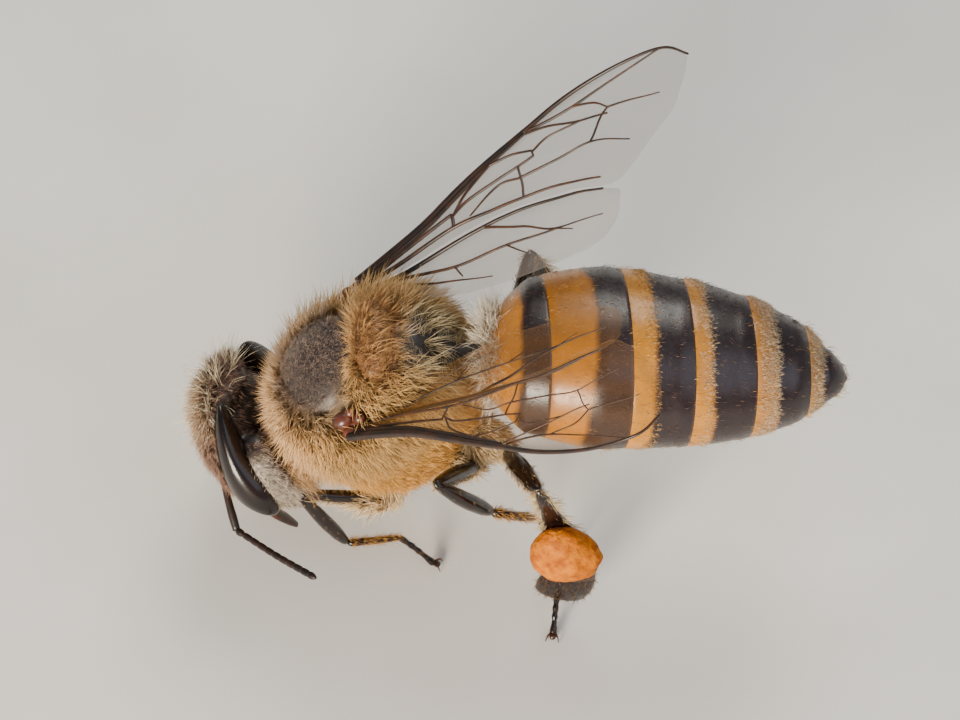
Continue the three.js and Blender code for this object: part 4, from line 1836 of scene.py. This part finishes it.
class GeometryTree:
    """A geometry tree with named inputs, which turns a piece into a plain mesh with one material."""

    def __init__(self, name: str, kinds: dict[str, str]) -> None:
        """Starts the tree with its group input.

        Args:
            name: The tree's name.
            kinds: The kind of each input, by name. The first is the geometry that the tree is given.
        """
        self.tree = bpy.data.node_groups.new(name, "GeometryNodeTree")
        face = self.tree.interface
        self.sockets = {
            key: face.new_socket(key, in_out="INPUT", socket_type=f"NodeSocket{kind}").identifier
            for key, kind in kinds.items()
        }
        face.new_socket("Made", in_out="OUTPUT", socket_type="NodeSocketGeometry")
        self.add = partial(add_node, self.tree)
        given = self.add("NodeGroupInput")
        self.given = {key: pick(given.outputs, key) for key in kinds}

    def stored(self, name: str, kind: str) -> Node:
        """Reads a value that the piece's points carry."""
        return self.add("GeometryNodeInputNamedAttribute", {"data_type": kind}, {"Name": name})

    def end(self, made: Node) -> None:
        """Ends the tree with real geometry in the given finish.

        Args:
            made: The node that gives the geometry.
        """
        whole = self.add("GeometryNodeRealizeInstances", inputs={"Geometry": made})
        dressed = {"Geometry": whole, "Material": self.given["Finish"]}
        self.add("NodeGroupOutput", inputs={"Made": self.add("GeometryNodeSetMaterial", inputs=dressed)})

    def run(self, made: Piece, values: dict[str, object]) -> Piece:
        """Runs the tree on a piece.

        Args:
            made: The piece, in millimetres.
            values: The value of each input, by name.

        Returns:
            The piece with its new plain mesh.
        """
        modifier = made.modifiers.new(self.tree.name, "NODES")
        modifier.node_group = self.tree
        for key, value in values.items():
            modifier[self.sockets[key]] = value
        return evaluated(made)


class VeinSweeper(GeometryTree):
    """A geometry tree that turns lines with a width at each point into round closed tubes."""

    def __init__(self) -> None:
        """Builds the tree."""
        super().__init__("sweep_veins", {"Lines": "Geometry", "Sides": "Int", "Finish": "Material"})
        lines = {"Mesh": self.given["Lines"]}
        circle = {"Resolution": self.given["Sides"], "Radius": 1.0}
        inputs = {
            "Curve": self.add("GeometryNodeMeshToCurve", inputs=lines),
            "Profile Curve": self.add("GeometryNodeCurvePrimitiveCircle", inputs=circle),
            "Scale": self.stored("half_width", "FLOAT"),
            "Fill Caps": True,
        }
        self.end(self.add("GeometryNodeCurveToMesh", inputs=inputs))

    def sweep(self, name: str, lines: list[tuple[Points, Array]], finish: Material) -> Piece:
        """Makes one piece of tubes.

        Args:
            name: The piece's name.
            lines: The points and half widths of each line.
            finish: The tubes' material.

        Returns:
            The piece, in millimetres.
        """
        edges, start = [], 0
        for line, _ in lines:
            edges += [(start + i, start + i + 1) for i in range(len(line) - 1)]
            start += len(line)
        made = mesh_object(name, np.vstack([line for line, _ in lines]), [], edges)
        set_attribute(made.data, "half_width", np.concatenate([widths for _, widths in lines]), "FLOAT")
        self.run(made, {"Sides": 8, "Finish": finish})
        made.data.shade_smooth()
        return made


# ---- coat

PATCH = 0.003  # a tuft's patch on the bake map, as a share of the map


@dataclass(frozen=True)
class Tuft:
    """A bunch of hairs that stands on Z and bends toward X. Its sizes are shares of its length."""

    hairs: int = 5
    foot: float = 0.1
    splay: float = 0.2
    bend: float = 0.28
    width: float = 0.02
    uneven: float = 0.35

    def shape(self, chance: np.random.Generator) -> tuple[Points, Faces, Array, Array]:
        """One bunch.

        Args:
            chance: The source of random numbers.

        Returns:
            Points, faces, share from root to tip, and place on the bunch's own patch.
        """
        points, faces, tips, patches = [], [], [], []
        turn = 2 * np.pi * np.arange(3) / 3
        for _ in range(self.hairs):
            start = len(points)
            root = chance.normal(0, self.foot / 2, 2)
            lean = root / self.foot * self.splay * 0.5 + chance.normal(0, self.splay / 2, 2)
            tall = 1 - self.uneven * chance.random()
            bend = self.bend * (0.6 + 0.8 * chance.random())
            for share, wide in ((0.0, 1.0), (0.5, 0.8), (1.0, 0.0)):
                x = root[0] + lean[0] * share + bend * share * share
                y = root[1] + lean[1] * share
                z = tall * share * (1 - 0.35 * bend * share)
                half = self.width * wide
                ring = [(x + half * math.cos(a), y + half * math.sin(a), z) for a in turn]
                spots = ring if wide else [(x, y, z)]
                points += spots
                tips += [share] * len(spots)
                patches += [(root[0] / self.foot / 3, share - 0.5, 0)] * len(spots)
            low, high, top = start, start + 3, start + 6
            for k in range(3):
                other = (k + 1) % 3
                faces += [(low + k, low + other, high + other, high + k), (high + k, high + other, top)]
            faces.append((low + 2, low + 1, low))
        return np.array(points), faces, np.array(tips), np.clip(np.array(patches), -0.5, 0.5) * PATCH


@dataclass(frozen=True)
class Growth:
    """How one patch of hair grows: tufts per square millimetre, and how unevenly they stand."""

    tuft: Tuft
    density: float
    uneven: float = 0.25
    tilt: float = 0.25


class Planter(GeometryTree):
    """A geometry tree that plants tufts over a bed, and turns the result into one plain mesh."""

    variants = 6
    fields = {"grow": "FLOAT", "length": "FLOAT", "way": "FLOAT_VECTOR", "lie": "FLOAT_VECTOR"}

    def __init__(self, finish: Material) -> None:
        """Builds the tree.

        Args:
            finish: The hair's material.
        """
        self.finish = finish
        kinds = {
            "Bed": "Geometry", "Density": "Float", "Seed": "Int", "Tufts": "Collection",
            "Unevenness": "Float", "Tilt": "Float", "Finish": "Material",
        }
        super().__init__("plant_tufts", kinds)
        add, given = self.add, self.given
        stored = {name: self.stored(name, kind) for name, kind in self.fields.items()}
        least, most = (
            add("ShaderNodeMath", {"operation": way}, {0: 1.0, 1: given["Unevenness"]})
            for way in ("SUBTRACT", "ADD")
        )
        ranges = {
            "stray": ("FLOAT_VECTOR", (-1, -1, -1), (1, 1, 1)),
            "spin": ("FLOAT_VECTOR", (0, 0, -0.7), (0, 0, 0.7)),
            "tall": ("FLOAT", least, most),
            "bunch": ("INT", 0, self.variants - 1),
        }
        chance = {}
        for name, (kind, low, high) in ranges.items():
            limits = {"Min": low, "Max": high, "Seed": given["Seed"]}
            chance[name] = add("FunctionNodeRandomValue", {"data_type": kind}, limits)
        thick = add("ShaderNodeMath", {"operation": "MULTIPLY"}, {0: given["Density"], 1: stored["grow"]})
        ground = {"Mesh": given["Bed"], "Density": thick, "Seed": given["Seed"]}
        spots = add("GeometryNodeDistributePointsOnFaces", inputs=ground)
        root = {"Geometry": spots, "Name": "root_place", "Value": add("GeometryNodeInputPosition")}
        tilt = {0: chance["stray"], "Scale": given["Tilt"]}
        stray = add("ShaderNodeVectorMath", {"operation": "SCALE"}, tilt)
        upward = add("ShaderNodeVectorMath", {"operation": "ADD"}, {0: stored["way"], 1: stray})
        axes = {"primary_axis": "Z", "secondary_axis": "X"}
        lying = {"Primary Axis": upward, "Secondary Axis": stored["lie"]}
        stance = add("FunctionNodeAxesToRotation", axes, lying)
        spin = add("FunctionNodeEulerToRotation", inputs={"Euler": chance["spin"]})
        turns = {"Rotation": stance, "Rotate By": spin}
        bunches = {"Collection": given["Tufts"], "Separate Children": True, "Reset Children": True}
        tall = {0: stored["length"], 1: chance["tall"]}
        planting = {
            "Points": add("GeometryNodeStoreNamedAttribute", {"data_type": "FLOAT_VECTOR"}, root),
            "Instance": add("GeometryNodeCollectionInfo", inputs=bunches),
            "Pick Instance": True,
            "Instance Index": chance["bunch"],
            "Rotation": add("FunctionNodeRotateRotation", {"rotation_space": "LOCAL"}, turns),
            "Scale": add("ShaderNodeMath", {"operation": "MULTIPLY"}, tall),
        }
        self.end(add("GeometryNodeInstanceOnPoints", inputs=planting))

    def bunches(self, name: str, tuft: Tuft) -> bpy.types.Collection:
        """Makes the different bunches that a patch is planted with.

        Args:
            name: The collection's name.
            tuft: The kind of bunch.

        Returns:
            The collection.
        """
        group = bpy.data.collections.new(name)
        chance = np.random.default_rng(SEED)
        for number in range(self.variants):
            points, faces, tips, patches = tuft.shape(chance)
            bunch = mesh_object(f"{name}_{number}", points, faces)
            set_attribute(bunch.data, "tip", tips, "FLOAT")
            set_attribute(bunch.data, "patch", patches, "FLOAT_VECTOR")
            bpy.context.scene.collection.objects.unlink(bunch)
            group.objects.link(bunch)
        return group

    def plant(
        self,
        name: str,
        slot: str,
        growth: Growth,
        bed: Bed,
        unwrap: Unwrap,
        flow: Array,
        stand: Array | float,
        **fields: Array | float,
    ) -> None:
        """Plants and finishes one piece of the coat.

        Args:
            name: The piece's name.
            slot: The record's material slot; not used.
            growth: Its tufts, density and unevenness.
            bed: Where it grows.
            unwrap: Maps places on the skin to the bake map.
            flow: Which way it is swept, for each point or for all.
            stand: How erect it stands, from 0 for flat to 1.
            fields: grow, length and tint, for each point of the bed.
        """
        fields["length"] = np.broadcast_to(fields["length"], len(bed.points))
        fields["tint"] = self.speckle(fields["tint"])
        fields.update(self.comb(bed, flow, stand))
        faces = [face for face in bed.faces if max(fields["grow"][list(face)]) > 0.02]
        used = np.unique(np.concatenate([np.array(face) for face in faces]))
        renumber = np.full(len(bed.points), -1)
        renumber[used] = np.arange(len(used))
        made = mesh_object(name, bed.points[used], [tuple(renumber[list(face)]) for face in faces])
        for key, kind in {**self.fields, "tint": "FLOAT_COLOR"}.items():
            set_attribute(made.data, key, fields[key][used], kind)
        group = self.bunches(f"{name}_bunch", growth.tuft)
        given = {
            "Density": growth.density, "Seed": SEED + len(name), "Tufts": group,
            "Unevenness": growth.uneven, "Tilt": growth.tilt, "Finish": self.finish,
        }
        self.run(made, given)
        for bunch in list(group.objects):
            bpy.data.objects.remove(bunch)
        bpy.data.collections.remove(group)
        self.map_patches(made.data, unwrap)
        settle(made, None)

    @staticmethod
    def comb(bed: Bed, flow: Array, stand: Array | float) -> dict[str, Array]:
        """Sets how hair lies.

        Args:
            bed: Where it grows.
            flow: Which way it is swept, for each point or for all.
            stand: How erect it stands, from 0 for flat to 1.

        Returns:
            The way and lie fields.
        """
        flow = np.broadcast_to(flow, bed.points.shape)
        swept = unit(flow - np.sum(flow * bed.normals, axis=1)[:, None] * bed.normals + 1e-6)
        stand = np.broadcast_to(stand, len(bed.points))[:, None]
        return {"way": unit(bed.normals * stand + swept * (1 - stand)), "lie": swept}

    @staticmethod
    def speckle(tint: Array, amount: float = 0.16) -> Array:
        """Varies a colour a little from tuft to tuft.

        Args:
            tint: The colour of each point.
            amount: How much it varies.

        Returns:
            The new colours.
        """
        chance = np.random.default_rng(SEED)
        shade = np.clip(1 + amount * chance.standard_normal(len(tint)), 0.6, 1.4)
        return np.column_stack([np.clip(tint[:, :3] * shade[:, None], 0, 1), np.ones(len(tint))])

    @staticmethod
    def map_patches(mesh: Mesh, unwrap: Unwrap) -> None:
        """Gives each tuft its small patch on the bake map, at its root's place.

        Args:
            mesh: The planted mesh.
            unwrap: Maps places to the bake map.
        """
        roots, patches = (read(mesh.attributes[key].data, "vector") for key in ("root_place", "patch"))
        spots = unwrap(roots) + patches[:, :2]
        corners = np.empty(len(mesh.loops), dtype=int)
        mesh.loops.foreach_get("vertex_index", corners)
        layer = mesh.uv_layers.new(name="OFBake")
        layer.data.foreach_set("uv", spots[corners].astype(np.float32).ravel())
        for key in ("root_place", "patch", *Planter.fields):
            if key in mesh.attributes:
                mesh.attributes.remove(mesh.attributes[key])


@dataclass(frozen=True)
class GlobeMap:
    """An unwrap of a round body: turn around its up axis, and height."""

    place: LocalFrame

    def spots(self, points: Points) -> Array:
        """Maps places on the body to the bake map.

        Args:
            points: Places in the model, in millimetres.

        Returns:
            Their spots on the map.
        """
        x, y, z = unit(self.place.inward(points)).T
        turn = np.arctan2(y, x) / (2 * np.pi) + 0.5
        return 0.01 + 0.98 * np.column_stack([turn, np.arcsin(np.clip(z, -1, 1)) / np.pi + 0.5])


@dataclass(frozen=True)
class BarrelMap:
    """An unwrap of the abdomen: turn around its axis, and place along it."""

    abdomen: Abdomen

    def spots(self, points: Points) -> Array:
        """Maps places on the rings to the bake map.

        Args:
            points: Places in the model, in millimetres.

        Returns:
            Their spots on the map.
        """
        middle = self.abdomen.at(points[:, 0])
        turn = np.arctan2(points[:, 1] - middle[:, 0], points[:, 2] - middle[:, 1]) / (2 * np.pi) + 0.5
        start, end = self.abdomen.ends[0][0], self.abdomen.ends[-1][1]
        return 0.01 + 0.98 * np.clip(np.column_stack([turn, (points[:, 0] - start) / (end - start)]), 0, 1)


@dataclass(frozen=True)
class LimbMap:
    """An unwrap of the legs: one column for each stretch, by turn around it and place along it."""

    chains: list[list[Array]]

    def spots(self, points: Points) -> Array:
        """Maps places on the legs to the bake map.

        Args:
            points: Places in the model, in millimetres.

        Returns:
            Their spots on the map.
        """
        stretches = [(a, b) for chain in self.chains for a, b in zip(chain, chain[1:])]
        best = np.full(len(points), np.inf)
        found = np.zeros((len(points), 2))
        for number, (start, end) in enumerate(stretches):
            along = end - start
            share = np.clip((points - start) @ along / (along @ along), 0, 1)
            off = points - start - share[:, None] * along
            gap = np.linalg.norm(off, axis=1)
            side = unit(np.cross(along, (0.3, 0.5, 1.0)))
            turn = np.arctan2(off @ np.cross(unit(along), side), off @ side) / (2 * np.pi) + 0.5
            here = np.column_stack([(number + 0.04 + 0.92 * turn) / len(stretches), 0.02 + 0.96 * share])
            found[gap < best] = here[gap < best]
            best = np.minimum(best, gap)
        return found


@dataclass
class Coat:
    """The bee's hair, planted patch by patch over the skin, the rings and the legs. Lengths are in mm."""

    planter: Planter
    long: Growth = Growth(Tuft(7, foot=0.14, width=0.012, splay=0.34), 170)
    short: Growth = Growth(Tuft(6, foot=0.16, bend=0.35, width=0.018, splay=0.4), 290, uneven=0.35, tilt=0.3)
    pile: Growth = Growth(Tuft(4, foot=0.3, bend=0.3, width=0.024, splay=0.7, uneven=0.4), 620, tilt=0.4)
    felt: Growth = Growth(Tuft(4, foot=0.3, bend=0.2, width=0.03, splay=0.6), 900, tilt=0.4)
    fine: Growth = Growth(Tuft(3, foot=0.3, bend=0.3, width=0.022, splay=0.5), 70, uneven=0.4, tilt=0.3)
    wisp: Growth = Growth(Tuft(4, foot=0.2, width=0.009, splay=0.7, uneven=0.5), 250, uneven=0.35, tilt=0.45)
    bristle: Growth = Growth(Tuft(3, foot=0.2, bend=0.3, width=0.022, splay=0.5), 520, uneven=0.4, tilt=0.3)

    @staticmethod
    def body_tint(points: Points) -> Array:
        """The colours of the hair on the head and thorax.

        Args:
            points: Places in the model, in millimetres.

        Returns:
            The linear colour of each point.
        """
        x, y, z = PLAN.thorax().inward(points).T
        region = BodySkin.regions(points)
        low = smoothstep(0.35, -0.5, z)
        layers = [(low, "#E8AE58"), (smoothstep(-0.5, -1.2, x) * (1 - low), "#C8A274")]
        layers += [(region["shield"], "#A08A7C"), (region["bolster"], "#C09058")]
        thorax = lay("#C69E62", len(points), *layers, (region["rump"], "#CCB88E"))
        x, y, z = PLAN.head().inward(points).T
        behind = smoothstep(0.05, 0.3, x)
        cheek = behind * smoothstep(0.5, 0.8, np.abs(y)) * smoothstep(0.3, -0.1, z) * smoothstep(0.9, 0.7, x)
        crown, low = smoothstep(0.55, 1.0, z) * (1 - behind), smoothstep(-0.3, -0.9, z)
        head = lay("#90705E", len(points), (crown, "#A2866A"), (low, "#B08A62"), (cheek, "#C4B6A4"))
        return np.where(BodySkin.on_head(points)[:, None], head, thorax)

    def on_thorax(self, bed: Bed) -> None:
        """Long tan hair on the collar, sides and rump, and short dark hair on the shield.

        Args:
            bed: The skin.
        """
        place = PLAN.thorax()
        x, y, z = place.inward(bed.points).T
        up = z / np.sqrt(x * x + y * y + z * z)
        region = BodySkin.regions(bed.points)
        bare = np.ones(len(x))
        for side in Side:
            near, far = (0.22, 0.36) if side is Side.LEFT else (0.12, 0.22)
            bare *= smoothstep(near, far, np.linalg.norm(bed.points - WingScales.middle(side), axis=1))
        thick = (~BodySkin.on_head(bed.points)) * bare
        shoulder = unit(np.array([0.05, 0.72, 0.7]))
        off = np.linalg.norm(unit(np.column_stack([x, np.abs(y), z])) - shoulder, axis=1)
        bald = 1 - 0.95 * smoothstep(0.34, 0.2, off)
        thick = thick * bald
        for patch, bare_share in (("shield", 0.97), ("bolster", 0.85), ("rump", 0.9)):
            thick = thick * (1 - bare_share * region[patch])
        thick *= smoothstep(2.1, 1.7, x)
        length = 0.48 - 0.16 * smoothstep(0.5, -0.6, z) + 0.12 * smoothstep(0.8, 1.2, x)
        length = length + 0.26 * smoothstep(0.2, 0.6, up) * smoothstep(0.5, 1.0, np.abs(y))
        length = length * (1 - 0.5 * region["shield"])
        flow = place.aim(np.column_stack([np.full(len(x), 0.8), 0.5 * y, -0.3 - 0.4 * (up < 0.3)]))
        stand = 0.76 + 0.1 * smoothstep(-0.6, -1.1, x) - 0.3 * smoothstep(0.5, -0.3, z)
        tint = self.body_tint(bed.points)
        split = {
            "thorax_back_hair": up > 0.45,
            "thorax_under_hair": up < -0.55,
            "thorax_left_hair": (up <= 0.45) & (up >= -0.55) & (y < 0),
            "thorax_right_hair": (up <= 0.45) & (up >= -0.55) & (y >= 0),
        }
        unwrap = GlobeMap(place).spots
        for name, part in split.items():
            fields = {"grow": thick * part, "length": length, "tint": tint}
            self.planter.plant(name, "coat", self.long, bed, unwrap, flow, stand, **fields)
        parting = np.column_stack([np.full(len(x), 0.3), np.sign(y), np.full(len(x), -0.2)])
        covers = {
            "shield_hair": (self.pile, region["shield"] * bald, 0.085, 0.5, (1.0, 0, 0)),
            "scutellum_hair": (self.short, 0.9 * region["bolster"], 0.2, 0.45, (1.0, 0, 0.2)),
            "rump_hair": (self.wisp, 0.35 * region["rump"], 0.34, 0.3, parting),
        }
        for name, (growth, share, long, rise, way) in covers.items():
            fields = {"grow": share * bare, "length": long, "tint": tint}
            self.planter.plant(name, "coat", growth, bed, unwrap, place.aim(np.array(way)), rise, **fields)

    def on_head(self, bed: Bed, eyes: Eyes) -> None:
        """Erect brown hair on the face and crown, and a short grey pile on the cheeks.

        Args:
            bed: The skin.
            eyes: The eyes, which stay bare.
        """
        place = PLAN.head()
        x, y, z = place.inward(bed.points).T
        skin = BodySkin.on_head(bed.points) * smoothstep(1.0, 1.08, eyes.nearness(bed.points))
        behind = smoothstep(0.1, 0.32, x)
        rear = np.maximum(smoothstep(-0.05, 0.25, z), smoothstep(0.7, 0.85, x))
        # The cheek hair is thinned at the back of the head so the skin's painted shade shows there.
        shaded_nape = behind * np.maximum(smoothstep(0.85, 0.6, np.abs(y)), rear) * smoothstep(1.15, 0.95, z)
        tint = self.body_tint(bed.points)
        unwrap = GlobeMap(place).spots
        flow = place.aim(np.column_stack([0 * x, 0.4 * y, np.full(len(x), -1.0)]))
        crest = 0.3 * skin * smoothstep(0.65, 0.95, z) * smoothstep(0.5, 0.2, x)
        fields = {"grow": crest, "length": 0.52, "tint": lay("#E4D4B4", len(x))}
        self.planter.plant("crown_hair", "coat", self.wisp, bed, unwrap, flow, 0.95, **fields)
        fields = {"grow": skin * (1 - behind), "length": 0.22 + 0.1 * smoothstep(0.5, 1.0, z), "tint": tint}
        self.planter.plant("face_hair", "coat", self.short, bed, unwrap, flow, 0.7, **fields)
        fields = {"grow": 0.8 * skin * behind * (1 - 0.85 * shaded_nape), "length": 0.14, "tint": tint}
        flow = place.aim(np.array([0.6, 0, -1.0]))
        self.planter.plant("cheek_hair", "coat", self.felt, bed, unwrap, flow, 0.4, **fields)

    def on_abdomen(self, abdomen: Abdomen) -> None:
        """Long pale hair at the waist, felt on the pale bands, and fine golden hair all over.

        Args:
            abdomen: The abdomen.
        """
        bed, unwrap = Bed.joined(abdomen.beds), BarrelMap(abdomen).spots
        share, angle, ring = (bed.values[key] for key in ("share", "angle", "ring"))
        edge, felt = np.array([(marks.dark_top, marks.felt) for marks in abdomen.marks])[ring].T
        size, back = len(share), AFT
        under = smoothstep(100, 130, angle)
        waist = (ring == 0) * smoothstep(0.4, 0.12, share)
        grow = waist * smoothstep(0.0, 0.08, share) * (1 - 0.6 * smoothstep(50, 100, angle))
        fields = {"grow": grow, "length": 0.2 + 0.34 * waist, "tint": lay("#EADCC4", size)}
        self.planter.plant("waist_hair", "rings", self.wisp, bed, unwrap, back, 0.85, **fields)
        band = smoothstep(edge + 0.08, edge - 0.03, share) * (felt > 0.2) * (1 - under)
        rear_half = smoothstep(0.5, 0.85, share / edge) + (ring > 3) * smoothstep(0.3, 0.5, share / edge)
        tint = lay("#D8BE9C", size, ((ring == 2) * 1.0, "#D8A868"))
        fields = {"grow": band * felt * 2.2 * rear_half, "length": 0.09, "tint": tint}
        self.planter.plant("band_hair", "rings", self.felt, bed, unwrap, back, 0.18, **fields)
        dark = smoothstep(edge - 0.02, edge + 0.05, share)
        tint = lay("#D8A860", size, (dark * (1 - under), "#6E5444"), (under, "#D8B886"))
        length = 0.12 + 0.05 * under + 0.06 * (ring == 5)
        fields = {"grow": 0.7 + 0.6 * under, "length": length, "tint": tint}
        self.planter.plant("abdomen_fine_hair", "rings", self.fine, bed, unwrap, back, 0.22, **fields)

    def on_legs(self, legs: Legs) -> None:
        """Pale hair under the thighs, a fringe round the pollen baskets, and golden brushes on the heels.

        Args:
            legs: The legs.
        """
        for side, bed in legs.beds.items():
            kind, part, along = (bed.values[key] for key in ("kind", "piece", "along"))
            under = smoothstep(0.0, -0.7, bed.normals[:, 2])
            hind_shin = (kind == 2) & (part == 2)
            fringe = hind_shin * smoothstep(0.6, 0.9, np.abs(bed.normals[:, 0]))
            thigh = (part == 1) * (kind == 0) * smoothstep(0.5, 0.15, bed.values["share"])
            grow = np.array([1.0, 0.06, 0.06, 0.9, 0.4])[part] + 0.9 * under * (part == 1) + 0.8 * thigh
            grow = np.where(hind_shin, 0.05 + fringe, grow)
            brush = 0.3 + 0.6 * smoothstep(0.5, 0.9, np.abs(bed.normals[:, 0]))
            grow = np.where((kind == 2) & (part == 3), brush, grow)
            length = np.array([0.3, 0.1, 0.09, 0.13, 0.07])[part] + 0.12 * under * (part == 1) + 0.2 * fringe
            length = length + 0.2 * thigh
            shin, heel, toes = ((part == number) * 1.0 for number in (2, 3, 4))
            layers = [(shin, "#A8845C"), (heel, "#D09440"), (heel * (kind == 2), "#6A4C2C")]
            tint = lay("#DCBE90", len(grow), *layers, (toes, "#7A5228"), (fringe, "#E6CC9C"))
            unwrap = LimbMap([legs.joints(each, side) for each in legs.forms]).spots
            name, stand = f"leg_hair_{side.word}", 0.35 + 0.2 * fringe
            fields = {"grow": grow, "length": length, "tint": tint}
            self.planter.plant(name, "shell", self.bristle, bed, unwrap, along, stand, **fields)


def main() -> None:
    """Dresses the bee and sets the stage."""
    logging.basicConfig(level=logging.INFO, format="%(message)s")
    Studio().build()
    abdomen = Abdomen()
    abdomen.build()
    front = abdomen.ends[0][0]
    waist = np.array([front, *abdomen.at(np.array([front]))[0, :2]])
    skin = BodySkin().build(waist)
    eyes = Eyes()
    eyes.build(skin)
    Feelers().build()
    Mouthparts().build()
    wings = Wings()
    WingScales().build(wings)
    legs = Legs()
    legs.build()
    PollenLoads().build(legs)
    wings.build()
    coat = Coat(Planter(BranchedHair().material()))
    bed = Bed.of_mesh(skin.data)
    coat.on_thorax(bed)
    coat.on_head(bed, eyes)
    coat.on_abdomen(abdomen)
    coat.on_legs(legs)
    pits = Pattern(Grain.CELLS, 0.05, (0.0, 0.45))
    finish = MarkedChitin("body_cuticle", roughness=0.42, coat=0.15, height=pits).material()
    settle(skin, finish, ("head", "thorax", "scutellum"))


if __name__ == "__main__":
    main()
